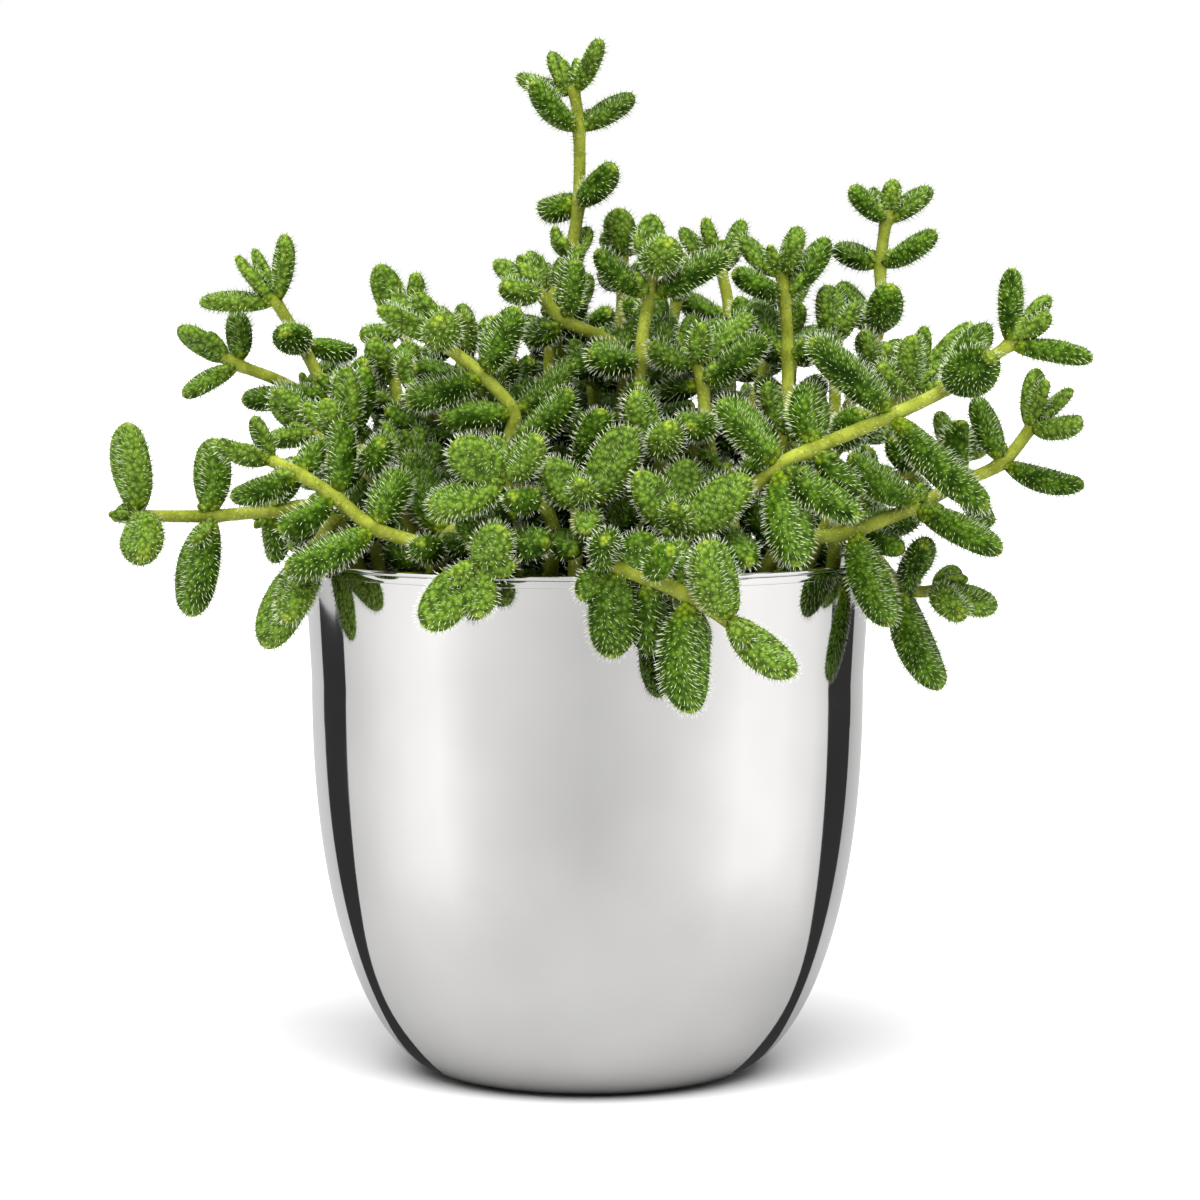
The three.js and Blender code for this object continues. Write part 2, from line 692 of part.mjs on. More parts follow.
// Turns a leaf about its base: first in depth, then sideways
function turnedLeaf(base, tip, [depthTurn, sideTurn, size]) {
  const reach = tip.clone().sub(base);
  const depthAxis = new THREE.Vector3(0, 1, 0).cross(reach);
  if (depthAxis.length() < steepShare * reach.length()) {
    depthAxis.set(1, 0, 0);
  }
  depthAxis.normalize();
  const sideAxis = depthAxis.clone().cross(reach).normalize();
  reach.applyAxisAngle(depthAxis, radians(depthTurn));
  reach.applyAxisAngle(sideAxis, radians(sideTurn));
  return base.clone().add(reach.multiplyScalar(size));
}

// Where a leaf leaves its stem: on the side that it points to
function leafFoot(stem, point, wanted) {
  const joint = stem.curve.points[point];
  const along = stem.curve.getTangent(point / (stem.curve.points.length - 1)).normalize();
  const sideways = wanted.clone().sub(joint);
  sideways.addScaledVector(along, -sideways.dot(along));
  const reach = Math.min(1, sideways.length() / footRamp) * footDepth;
  const foot = joint.clone().addScaledVector(sideways.normalize(), reach);
  if (point === stem.curve.points.length - 1) {
    foot.addScaledVector(along, -endDepth);
  }
  return foot;
}

function growLeaf(stem, point, wanted, thickness) {
  const base = leafFoot(stem, point, wanted);
  for (const attempt of leafTries) {
    const tip = turnedLeaf(base, wanted, attempt);
    const size = thickness * (1 - thinningShare * (1 - attempt[2]));
    const balls = leafBalls(base, tip, size);
    if (leafIsClear(balls, stem.name, base)) {
      place(balls, stem.name);
      stem.leaves.push({ base, tip, thickness: size });
      return;
    }
  }
}

function placedStem(shoot) {
  const points = [...footPoints(...shoot.root), ...shoot.points.map(seen)];
  const curve = new StemCurve(points);
  place(stemBalls(curve), shoot.name);
  return { name: shoot.name, curve, leaves: [], wanted: shoot.leaves };
}

function growPlacedLeaves(stem) {
  for (const [point, x, z, depth, thickness] of stem.wanted) {
    const base = stem.curve.points[point + 2];
    const tip = seen([x, z, base.y + depth]);
    growLeaf(stem, point + 2, tip, thickness);
  }
}

// A stem of the inside or the back: up from the soil, then arching out to the bush's surface
function innerCurve(index, random, [turn, lift, moveX, moveY]) {
  const share = Math.sqrt((index + 0.5) / innerPlaces);
  const angle = index * goldenAngle;
  const root = new THREE.Vector3(Math.cos(angle), Math.sin(angle), 0).multiplyScalar(rootSpread * share);
  root.x += moveX;
  root.y += moveY;
  const heading = angle + radians((random.heading - 0.5) * headingSpread + turn);
  const fall = riseFall * share ** riseBend;
  const rise = radians(steepestRise - fall + (random.rise - 0.5) * riseSpread + lift);
  const front = Math.sin(heading) < frontSide ? frontShare : 1;
  const reach = (shortestReach + reachSpread * random.reach) * front;
  const tip = new THREE.Vector3(
    Math.cos(heading) * Math.cos(rise) * bushRadius * reach,
    Math.sin(heading) * Math.cos(rise) * bushRadius * reach,
    bushCentre + Math.sin(rise) * bushRise * reach,
  );
  const [foot, collar] = footPoints(root.x, root.y);
  const bend = new THREE.Vector3(
    root.x + archOut * (tip.x - root.x),
    root.y + archOut * (tip.y - root.y),
    Math.max(archHeight, collar.z + archUp * (tip.z - collar.z)),
  );
  const arch = new THREE.QuadraticBezierCurve3(collar, bend, tip);
  const length = archSlack * (collar.distanceTo(bend) + bend.distanceTo(tip));
  const step = jointSpacing / length;
  const joints = jointsBack.map((count) => 1 - count * step).filter((along) => along > lowestJoint);
  return new StemCurve([foot, collar, ...joints.map((along) => arch.getPoint(along))]);
}

function innerStem(index) {
  const draw = randomFrom(innerSeed + index * seedStep);
  const random = { heading: draw(), rise: draw(), reach: draw(), roll: draw() };
  const name = `shoot_inner_${String(index + 1).padStart(2, '0')}`;
  for (const attempt of stemTries) {
    const curve = innerCurve(index, random, attempt);
    const balls = stemBalls(curve);
    if (stemIsClear(balls, name)) {
      place(balls, name);
      return { name, curve, leaves: [], roll: random.roll * Math.PI, draw };
    }
  }
  return null;
}

// Pairs of leaves, each pair turned a quarter round the stem from the next
function growPairs(stem) {
  const last = stem.curve.points.length - 1;
  for (let pair = 0; pair < pairTilt.length && last - pair > 2; pair += 1) {
    const point = last - pair;
    const along = stem.curve.getTangent(point / last).normalize();
    const facing = new THREE.Quaternion().setFromUnitVectors(new THREE.Vector3(0, 0, 1), along);
    for (let side = 0; side < 2; side += 1) {
      const roll = stem.roll + pair * Math.PI / 2 + side * Math.PI + (stem.draw() - 0.5) * rollSpread;
      const tilt = radians(pairTilt[pair] + (stem.draw() - 0.5) * tiltSpread);
      const size = smallestLeaf + leafSpread * stem.draw();
      const reach = new THREE.Vector3(
        Math.cos(roll) * Math.sin(tilt),
        Math.sin(roll) * Math.sin(tilt),
        Math.cos(tilt),
      ).applyQuaternion(facing);
      const base = stem.curve.points[point];
      const tip = base.clone().addScaledVector(reach, pairLength[pair] * size);
      growLeaf(stem, point, tip, pairThickness[pair] * (1 + thicknessShare * (size - 1)));
    }
  }
}

// A plump leaf: narrow at its foot, thickest halfway, blunt at its tip. Its corners stand out a little
// further than the round leaf, its flats a little less.
function leafSolid({ base, tip, thickness }, sides, rings) {
  const length = base.distanceTo(tip);
  const radius = (0.5 * thickness) / Math.cos(Math.PI / (facetShare * sides));
  const profile = [[0, 0], ...rings.map(([share, width]) => [radius * width, length * share]), [0, length]];
  const geometry = turned(profile, sides);
  const along = tip.clone().sub(base).normalize();
  geometry.applyQuaternion(new THREE.Quaternion().setFromUnitVectors(new THREE.Vector3(0, 0, 1), along));
  geometry.translate(base.x, base.y, base.z);
  return toSolid(geometry);
}

function stemSolid(curve) {
  const section = new THREE.Shape();
  for (let i = 0; i < stemSides; i += 1) {
    const angle = (2 * Math.PI * i) / stemSides;
    const x = stemRadius * Math.cos(angle);
    const y = stemRadius * Math.sin(angle);
    if (i === 0) {
      section.moveTo(x, y);
    } else {
      section.lineTo(x, y);
    }
  }
  section.closePath();
  const options = { steps: curve.points.length - 1, bevelEnabled: false, extrudePath: curve };
  return toSolid(new THREE.ExtrudeGeometry(section, options));
}

function makeShoot(stem) {
  let shoot = stemSolid(stem.curve);
  for (const leaf of stem.leaves) {
    const full = stem.wanted && leaf.thickness > fullThickness;
    const solid = full ? leafSolid(leaf, fullSides, fullOutline) : leafSolid(leaf, plainSides, plainOutline);
    shoot = shoot.add(solid);
  }
  return shoot;
}

function growBush() {
  const handPlaced = placedShoots.map(placedStem);
  const inner = [];
  for (let index = 0; index < innerCount; index += 1) {
    const stem = innerStem(index);
    if (stem) {
      inner.push(stem);
    }
  }
  handPlaced.forEach(growPlacedLeaves);
  inner.forEach(growPairs);
  return [...handPlaced, ...inner];
}

const stems = growBush();
const plant = new THREE.Group();
plant.add(namedMesh('pot', makePot(), materials.steel));
plant.add(namedMesh('soil', makeSoil(stems), materials.soil));
for (const stem of stems) {
  plant.add(namedMesh(stem.name, makeShoot(stem), materials.leaf));
}

export default plant;
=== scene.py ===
import math

import bpy
import numpy as np
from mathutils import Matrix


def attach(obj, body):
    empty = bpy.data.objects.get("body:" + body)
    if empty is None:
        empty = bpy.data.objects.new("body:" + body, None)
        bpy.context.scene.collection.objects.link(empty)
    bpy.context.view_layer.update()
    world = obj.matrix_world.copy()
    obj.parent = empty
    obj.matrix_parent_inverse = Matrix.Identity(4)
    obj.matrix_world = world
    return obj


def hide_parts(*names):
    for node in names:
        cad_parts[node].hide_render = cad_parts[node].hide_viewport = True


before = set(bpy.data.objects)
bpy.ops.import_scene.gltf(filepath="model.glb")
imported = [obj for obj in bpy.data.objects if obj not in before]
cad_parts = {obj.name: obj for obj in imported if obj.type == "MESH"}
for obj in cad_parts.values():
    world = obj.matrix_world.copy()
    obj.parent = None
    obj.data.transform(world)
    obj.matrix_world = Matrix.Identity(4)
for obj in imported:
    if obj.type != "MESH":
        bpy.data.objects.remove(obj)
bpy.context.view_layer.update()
scene = bpy.context.scene
mm = 0.001  # metres
print("loaded the frame:", len(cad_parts), "nodes")


def linear(hexColour, alpha=1.0):
    # sRGB hex to the linear colour that shaders work in
    parts = [int(hexColour[i:i + 2], 16) / 255 for i in (1, 3, 5)]
    return tuple(c / 12.92 if c <= 0.04045 else ((c + 0.055) / 1.055) ** 2.4 for c in parts) + (alpha,)


def addNode(tree, kind, inputs=None, stops=None, **settings):
    # inputs: name or number of an input -> the output that feeds it, or a fixed value
    # stops: place on a colour ramp -> its colour
    node = tree.nodes.new(kind)
    for name, value in settings.items():
        setattr(node, name, value)
    for name, value in (inputs or {}).items():
        if isinstance(value, bpy.types.NodeSocket):
            tree.links.new(value, node.inputs[name])
        else:
            node.inputs[name].default_value = value
    for number, (place, colour) in enumerate(sorted((stops or {}).items())):
        elements = node.color_ramp.elements
        stop = elements[number] if number < 2 else elements.new(place)
        stop.position, stop.color = place, colour
    return node


def unit(vector):
    return vector / np.linalg.norm(vector)


def rotated(vector, axis, angle):
    cosine, sine = math.cos(angle), math.sin(angle)
    return vector * cosine + np.cross(axis, vector) * sine + axis * np.dot(axis, vector) * (1 - cosine)


def bend01(values, start, end):
    # smooth step from 0 at start to 1 at end
    share = np.clip((values - start) / (end - start), 0, 1)
    return share * share * (3 - 2 * share)


def randomFrom(seed):
    # repeatable numbers from 0 to 1, the same on every machine
    state = seed & 0xFFFFFFFF

    def draw():
        nonlocal state
        state = (state + 0x6D2B79F5) & 0xFFFFFFFF
        mixed = ((state ^ (state >> 15)) * (state | 1)) & 0xFFFFFFFF
        mixed ^= (mixed + (mixed ^ (mixed >> 7)) * (mixed | 61)) & 0xFFFFFFFF
        return (mixed ^ (mixed >> 14)) / 4294967296

    return draw


# Pot: outside profile, in millimetres
pot = {
    "rimRadius": 50.0, "height": 91.0, "wall": 1.2,
    "rimStep": 0.35,  # the wall stands back this far from the rolled lip
    "lipHeight": 0.87, "bandHeight": 1.25, "grooveDepth": 0.16,
    "cornerHeight": 70.0, "cornerRadius": 48.6, "cornerDrop": 2.25, "cornerFullness": 2.1,
    "footRadius": 23.0, "footBevel": 0.6, "footRise": 0.12, "floor": 1.5,
    "insideLift": 0.3, "insideStart": 4.0,
    "segments": 180, "cornerSteps": 40,
}


def potRadius(height):
    if height >= pot["cornerHeight"]:
        share = (height - pot["cornerHeight"]) / (pot["height"] - pot["cornerHeight"])
        return pot["cornerRadius"] + (pot["rimRadius"] - pot["cornerRadius"]) * share
    drop = (pot["cornerHeight"] - height) / pot["cornerHeight"]
    bulge = (1 - drop ** pot["cornerDrop"]) ** (1 / pot["cornerFullness"])
    return pot["footRadius"] + (pot["cornerRadius"] - pot["footRadius"]) * bulge


# Bush: how stems and leaves are laid out, in millimetres and degrees
bush = {
    "eye": (0.0, -700.0, 134.5),  # viewing point from which the listed stems are described
    "soilTop": 78.0, "stemFoot": 72.0, "stemCollar": 79.5, "stemRadius": 1.3,
    "ballsPerStep": 7, "footDepth": 0.6, "endDepth": 1.0, "collarRoom": 1.0,
    "clearance": 0.45, "wallRoom": 1.0, "facetRoom": 1.06, "ownOverlap": 1.0, "jointReach": 5.0,
    "neckShare": 0.1, "freeShare": 0.4, "footRamp": 4.0, "steepShare": 0.2, "thinningShare": 0.5,
    "innerPlaces": 24, "innerCount": 23, "innerSeed": 4217, "seedStep": 101, "goldenAngle": 2.39996323,
    "rootSpread": 42.0, "centre": 88.0, "radius": 60.0, "rise": 56.0, "frontShare": 0.66,
    "frontSide": 0.1, "shortestReach": 0.86, "reachSpread": 0.34, "headingSpread": 24.0,
    "steepestRise": 86.0, "riseFall": 82.0, "riseBend": 1.5, "riseSpread": 14.0,
    "archHeight": 106.0, "archOut": 0.25, "archUp": 0.6, "archSlack": 0.9,
    "jointSpacing": 9.5, "jointsBack": (4, 3, 2, 1, 0), "lowestJoint": 0.08,
    "pairTilt": (32, 55, 70), "pairLength": (8.5, 12.5, 15.5), "pairThickness": (3.5, 5.2, 6.3),
    "rollSpread": 0.5, "tiltSpread": 16.0, "smallestLeaf": 0.85, "leafSpread": 0.3, "thicknessShare": 0.4,
}
# share of a leaf's length, then the share of its greatest radius there
leafOutline = np.array([
    [0, 0.2], [0.14, 0.64], [0.3, 0.9], [0.5, 1], [0.7, 0.94], [0.86, 0.74], [0.96, 0.42],
])
eye = np.array(bush["eye"])

# Tried in turn for a leaf that meets another: turn in depth, turn sideways, size
leafTries = [
    (0, 0, 1), (10, 0, 1), (-10, 0, 1), (20, 0, 1), (-20, 0, 1), (0, 10, 1), (0, -10, 1),
    (12, 12, 1), (-12, 12, 1), (12, -12, 1), (-12, -12, 1), (30, 0, 1), (-30, 0, 1), (0, 20, 0.95),
    (0, -20, 0.95), (22, 18, 0.9), (-22, 18, 0.9), (22, -18, 0.9), (-22, -18, 0.9), (0, 0, 0.85),
    (12, 0, 0.8), (-12, 0, 0.8), (0, 14, 0.8), (0, -14, 0.8), (35, 25, 0.8), (-35, 25, 0.8),
    (35, -25, 0.8), (-35, -25, 0.8), (0, 0, 0.7), (20, 0, 0.7), (-20, 0, 0.7), (0, 25, 0.7), (0, -25, 0.7),
]
# Tried in turn for a stem that meets another: turn, lift and the moves of its root
stemTries = [
    (0, 0, 0, 0), (9, 0, 0, 0), (-9, 0, 0, 0), (0, 8, 2, 0), (0, -8, -2, 0), (0, 0, 0, 3), (0, 0, 0, -3),
    (8, 0, 3, 3), (-8, 0, 3, -3), (8, 0, -3, 3), (-8, 0, -3, -3), (16, 4, 0, 4), (-16, 4, 0, -4),
    (16, -6, 4, 0), (-16, -6, -4, 0), (25, 0, 4, 4), (-25, 0, -4, -4), (0, 12, 5, -4), (0, -12, -5, 4),
]

# Stems given one by one. A point is x and z where it shows on the plane through the pot's axis, then its
# real depth. A leaf is the number of the point it grows from, x and z of its tip, the tip's depth from that
# point, and its thickness.
placedShoots = [
    {
        "name": "shoot_tall_centre", "root": (-4, 14),
        "points": [(-5, 110.5, 13), (-4, 128.5, 12), (-3, 143.5, 12), (-1.6, 153, 12), (-1.5, 166, 12),
            (-2.5, 173.5, 12)],
        "leaves": [(1, 4, 134.5, -7, 5.5), (1, -14, 132.5, 3, 5.5), (2, 0.3, 149, 3, 3.2),
            (2, -6, 149.1, -2, 2.8), (3, 4.6, 159.7, -6, 6), (3, -8, 152.3, 6, 6.2),
            (4, -9.8, 174.3, -4, 5.6), (4, 8.1, 171.9, 4, 4.6), (5, 2.4, 181.7, -3, 4.3),
            (5, -6.6, 179.5, 2, 3.2), (5, -12.4, 175.3, 7, 3.8)],
    },
    {
        "name": "shoot_centre_left", "root": (3, -4),
        "points": [(5, 110.5, -12), (6, 126.5, -16), (-4, 132.8, -20), (-9.2, 138.3, -22)],
        "leaves": [(2, -1.8, 143.3, -3, 4.8), (2, -10.8, 129.8, 5, 5), (3, -14.6, 138.9, -7, 5),
            (3, -12, 144.1, 1, 2.8), (3, -9.4, 144.1, 4, 3.8), (3, -16.4, 143, 3, 3.4)],
    },
    {
        "name": "shoot_centre", "root": (9, -13),
        "points": [(8.6, 103.5, -20), (9.3, 125.3, -23), (10.9, 136.8, -23), (11.8, 142.3, -23)],
        "leaves": [(1, 0.3, 126.7, -4, 6.4), (1, 15, 133.2, 7, 4.6), (2, 1.4, 144.9, -2, 4.9),
            (2, 25, 144.3, -1, 5.3), (3, 14.4, 146.5, -8, 5.8), (3, 11.2, 151.3, 3, 4.4),
            (3, 8.6, 147.9, -1, 3)],
    },
    {
        "name": "shoot_centre_right", "root": (20, -12),
        "points": [(22, 103.5, -23), (20.8, 115, -26), (20.3, 121.5, -26), (18.9, 126, -26)],
        "leaves": [(1, 17.8, 113.9, -9, 6), (1, 27, 119.5, 6, 5), (2, 31.6, 129.5, -3, 5.6),
            (2, 11.5, 119.5, 5, 5), (3, 10.8, 128.2, -3, 5), (3, 29, 133.7, 2, 4.7),
            (3, 18.1, 133.7, 2, 4), (3, 20.3, 132.3, -4, 3.8)],
    },
    {
        "name": "shoot_right_upper", "root": (30, 2),
        "points": [(34.5, 110.5, 0), (35.2, 126.5, 2), (34.5, 137.3, 2), (33.8, 141.5, 2)],
        "leaves": [(1, 29, 135.5, 7, 5.2), (1, 44.5, 129.1, 2, 5.4), (2, 25.4, 141.1, -3, 5),
            (2, 42.2, 147.1, 3, 4.9), (3, 37.2, 149.1, -2, 4.5), (3, 26.8, 147.3, 2, 4),
            (3, 31.8, 145.9, -2, 2.4)],
    },
    {
        "name": "shoot_back_middle", "root": (16, 22),
        "points": [(24, 110.5, 24), (24.8, 132.5, 25), (23.3, 142.1, 26)],
        "leaves": [(1, 33, 136.5, 1, 5.4), (1, 16, 137, -1, 5.4), (2, 20.4, 150.7, -1, 3.6),
            (2, 27.2, 150.3, 1, 4), (2, 16.2, 148.8, 4, 3.7)],
    },
    {
        "name": "shoot_tall_right", "root": (33, 15),
        "points": [(43, 110.5, 20), (50.8, 130.5, 24), (51.3, 142.3, 25), (52.2, 150, 25),
            (52.6, 152.3, 25)],
        "leaves": [(1, 44, 139.3, 3, 5.2), (1, 53.2, 138.9, -7, 5.7), (2, 43, 145.3, 4, 5),
            (2, 61.2, 148, -4, 5), (3, 46, 156, -3, 4.8), (3, 60.2, 155.7, 4, 4.2),
            (4, 53.6, 157.4, -1, 3.2), (4, 49.6, 155.9, 3, 2.4)],
    },
    {
        "name": "shoot_right_near", "root": (38, -2),
        "points": [(43, 110.5, 4), (43.4, 129.8, 7)],
        "leaves": [(0, 36, 117.5, -6, 5.4), (0, 52, 117.5, 4, 5.4), (1, 41.9, 138.9, 2, 5.2),
            (1, 47.2, 135.7, -2, 3.6), (1, 44.6, 136.1, 3, 2.8)],
    },
    {
        "name": "shoot_right_arch", "root": (19, -27),
        "points": [(23.5, 96.5, -38), (34, 107, -44), (40, 110.2, -43.5), (53.6, 116, -40),
            (63.5, 120.9, -36), (74.3, 128.5, -30), (76, 130.1, -29.5)],
        "leaves": [(1, 23.3, 118.7, 1, 6.2), (1, 37.2, 89.3, -3, 7.4), (1, 48, 98.3, -4, 5.8),
            (2, 39, 121.7, 4, 6.8), (3, 39.3, 129.3, -2, 7), (3, 70.8, 99.5, -6, 6.6),
            (5, 74.6, 141.9, 0, 5.1), (5, 89, 125.9, -1, 4.8), (4, 71.2, 126.5, -10, 7.4),
            (4, 70.6, 131.9, 8, 5), (6, 81.4, 136.9, 2, 3.2), (6, 81.4, 133.9, -2, 3.6)],
    },
    {
        "name": "shoot_right_middle", "root": (27, -22),
        "points": [(34, 91.9, -26), (47, 95.7, -24), (58, 100.1, -22), (65.5, 104.1, -20),
            (73, 107.7, -18), (78.6, 114.5, -17)],
        "leaves": [(1, 53.3, 78.8, -7, 7.2), (1, 43, 107, 2, 5.6), (2, 73.2, 91.9, -4, 6.2),
            (2, 46, 108.8, -5, 6.4), (4, 87.6, 103.5, -3, 5), (4, 68.2, 119.3, 2, 5.2),
            (5, 79.1, 124.3, 3, 4.2), (5, 80.8, 122.3, -2, 3.2), (5, 85.4, 120.7, 1, 3),
            (5, 87.2, 114.9, -5, 5)],
    },
    {
        "name": "shoot_right_inner", "root": (34, -12),
        "points": [(44, 99.5, -13), (57, 106.1, -11), (65.5, 108.8, -9)],
        "leaves": [(1, 53.5, 112, -4, 5.2), (1, 60.5, 97, 2, 5), (2, 71.2, 114.5, -5, 3.9),
            (2, 64.8, 115.1, -3, 3.6), (2, 61.8, 116.7, 4, 3.8)],
    },
    {
        "name": "shoot_right_low", "root": (42, -12),
        "points": [(45, 96.5, -14), (55.3, 86, -13), (62.2, 85, -13)],
        "leaves": [(1, 62.3, 67.5, -3, 7.6), (1, 60.2, 95.3, -8, 6.2), (2, 72.4, 82.1, 0, 5.8),
            (2, 66, 80.9, -9, 5.8), (2, 65.8, 88.7, 4, 3.7)],
    },
    {
        "name": "shoot_right_top", "root": (30, -8),
        "points": [(44, 110.5, -14), (57.8, 120.3, -16)],
        "leaves": [(0, 49, 118.5, -4, 5.6), (1, 57, 130.1, -4, 5), (1, 51.2, 124.5, -6, 4.6),
            (1, 59.4, 131.7, 4, 3.6), (1, 67.6, 132.3, 4, 3.6)],
    },
    {
        "name": "shoot_front_trailing", "root": (4, -37),
        "points": [(5, 91.9, -45), (4.8, 89.7, -53), (11, 87.5, -55.5), (18.4, 84.1, -56.5),
            (26, 79.3, -57)],
        "leaves": [(1, 3.2, 94.3, -9, 5.2), (1, 13.4, 91.4, -5, 6), (1, -1.3, 83.7, -3, 4.6),
            (1, 4.4, 72.9, -1, 7.2), (3, 18.4, 63.3, 0, 8.2), (3, 16.4, 94.1, 3, 4.6),
            (4, 20.8, 93.9, -4, 7.6), (4, 37, 70.3, 0, 6.2), (4, 28.8, 76.1, -4, 2.8)],
    },
    {
        "name": "shoot_front_left", "root": (-11, -37),
        "points": [(-14, 93.5, -45), (-20.3, 89.3, -50.5)],
        "leaves": [(0, -23, 98.5, 2, 5), (1, -14.2, 95.9, -4, 5.8), (1, -28.7, 78.5, -1, 6.8),
            (1, -18.8, 79.9, -3, 5), (1, -12.6, 89.3, -3, 3.4)],
    },
    {
        "name": "shoot_left_front", "root": (-24, -25),
        "points": [(-26.5, 91.1, -33), (-37.5, 96.2, -34.5), (-44.4, 101.7, -33), (-50.7, 105.7, -31),
            (-56.3, 108.5, -29.5)],
        "leaves": [(1, -32.3, 106.3, 3, 6.4), (1, -53.2, 88.8, -4, 6.2), (3, -62.8, 101.4, -2, 5.2),
            (3, -47.4, 111.1, 6, 4.8), (4, -65.3, 111.2, -1, 4.4), (4, -58.7, 115.9, 0, 3.5)],
    },
    {
        "name": "shoot_left_rim", "root": (-37, -14),
        "points": [(-43, 97.1, -18), (-49, 91.7, -23.5)],
        "leaves": [(0, -39, 106.5, -3, 5.4), (0, -53.4, 96, 4, 5.8), (1, -57, 74.9, 1, 7),
            (1, -46.8, 74.1, -8, 7)],
    },
    {
        "name": "shoot_left_upper", "root": (-21, -14),
        "points": [(-33, 99.5, -21), (-39.3, 106.8, -24), (-43.3, 113, -25)],
        "leaves": [(1, -34.3, 108.3, -9, 5.8), (1, -46, 104.1, 3, 5), (2, -54.8, 108.7, -2, 4.8),
            (2, -42.4, 124.5, 1, 4.8), (2, -49.8, 118.1, 0, 3.6), (2, -46.4, 118.9, -4, 3.4)],
    },
    {
        "name": "shoot_left_top", "root": (-18, 8),
        "points": [(-37, 106.5, 11), (-45.5, 119.5, 14), (-50, 128.1, 15), (-55.2, 136.8, 16)],
        "leaves": [(1, -39, 125.5, -8, 5.8), (1, -55.4, 120.1, -5, 5.2), (2, -53.4, 130.7, -9, 6),
            (2, -40.6, 126.9, 5, 5), (3, -53, 147.8, -1, 4.4), (3, -68.2, 135.8, 1, 4.2),
            (3, -61.7, 144, -1, 3), (3, -58.6, 145.3, 3, 2.4)],
    },
    {
        "name": "shoot_left_back", "root": (-27, 16),
        "points": [(-40, 106.5, 20), (-50, 119.5, 23), (-61.5, 124.9, 23), (-64, 126.3, 23)],
        "leaves": [(1, -60.9, 118.7, -1, 5.2), (1, -42, 128, 4, 5.4), (2, -61.8, 134.5, 2, 4.8),
            (2, -71.3, 119.4, -1, 4.2), (3, -72.1, 131.3, 0, 4.1)],
    },
    {
        "name": "shoot_left_low", "root": (-38, -4),
        "points": [(-45.5, 98.5, -6), (-56, 99.1, -8), (-66.2, 98.3, -9), (-80, 98.3, -10)],
        "leaves": [(1, -50.5, 108.5, 3, 6), (1, -55, 90.5, 7, 5.6), (2, -65.6, 112.1, 1, 6.8),
            (2, -70.2, 80.5, -1, 7.8), (2, -69.8, 92.9, -5, 2.8), (3, -81, 114.8, 0, 7.2),
            (3, -78, 91.1, -10, 7.6), (3, -83, 99.1, 2, 3.2)],
    },
    {
        "name": "shoot_back_left", "root": (-13, 20),
        "points": [(-26, 114.5, 20), (-33, 132, 21)],
        "leaves": [(0, -20, 124, -3, 5.6), (0, -38, 116.5, 6, 5.8), (1, -36.8, 142.5, 1, 5.2),
            (1, -29.8, 141.3, -1, 4.6), (1, -40.4, 129.7, -4, 5), (1, -24.5, 134.5, 3, 4.6)],
    },
    {
        "name": "shoot_left_centre", "root": (-9, -14),
        "points": [(-12, 99.5, -26), (-13.6, 111.3, -30), (-12.9, 116.5, -31), (-18.3, 123, -31),
            (-26, 129.1, -31)],
        "leaves": [(1, -2.4, 120.2, -4, 6), (1, -24.5, 112.5, 6, 5.4), (2, -2.4, 125.1, 3, 4.4),
            (3, -12, 135, -2, 6), (3, -31.8, 118.1, -3, 6.2), (4, -26, 132.9, -10, 5.8),
            (4, -36.8, 134.9, -3, 4.3), (4, -30, 137.5, 2, 3.7), (4, -35, 137.9, 5, 3.4)],
    },
    {
        "name": "shoot_centre_low_left", "root": (-7, -29),
        "points": [(-6, 95.5, -39), (-9, 101.5, -44.5), (-15, 104.8, -47)],
        "leaves": [(2, -23.8, 111, -3, 6.6), (2, -27.8, 99.7, -3, 6.2), (2, -8.2, 112.3, -4, 5.6),
            (2, -17, 112.7, 2, 4)],
    },
    {
        "name": "shoot_centre_low", "root": (3, -27),
        "points": [(2, 93.5, -36), (0.3, 100.8, -44)],
        "leaves": [(0, 10, 102.5, -2, 5), (1, 8, 113.9, 2, 7), (1, -8.9, 106.3, -1, 6),
            (1, 0, 95.3, -7, 3.6), (1, -2, 106.9, -4, 3.4)],
    },
    {
        "name": "shoot_right_low_centre", "root": (13, -34),
        "points": [(15, 88.5, -40), (16, 95.5, -46.5)],
        "leaves": [(1, 28.8, 105.1, -2, 6.6), (1, 8.8, 106.1, -2, 5.6), (1, 17.6, 108.4, 4, 6),
            (1, 15.4, 100.3, -6, 4.2)],
    },
    {
        "name": "shoot_centre_middle", "root": (13, -21),
        "points": [(13, 99.5, -32), (13, 110, -36.5)],
        "leaves": [(0, 24, 105.5, 1, 5.4), (1, 8.4, 120.3, -2, 5.6), (1, 12.6, 110.9, -10, 5.6),
            (1, 18.5, 118.5, 3, 4.6)],
    },
    {
        "name": "shoot_back_centre", "root": (1, 21),
        "points": [(4.3, 118.7, 19), (5.4, 130.1, 19), (6.2, 138, 20), (6.1, 145, 20)],
        "leaves": [(1, 0.1, 132.4, -3, 5.2), (1, 11, 134.1, 3, 5.2), (2, 2.5, 141.8, 2, 4.6),
            (2, 10.1, 142.9, -3, 4.8), (3, 5.5, 152.3, -3, 5.4), (3, 8.9, 149.2, 3, 4.2),
            (3, 2.9, 148.1, 2, 3.8)],
    },
    {
        "name": "shoot_back_right", "root": (31, 8),
        "points": [(36, 109, 10), (35.6, 117.8, 11), (35.6, 125.4, 12), (34.9, 131, 12)],
        "leaves": [(0, 31.2, 115.2, -3, 5.2), (0, 41.3, 114.3, 2, 5.2), (1, 30, 122.6, 2, 5.4),
            (1, 41.6, 122.2, -3, 5.6), (2, 30.3, 130.1, -2, 5.2), (2, 40.9, 128.4, 3, 5),
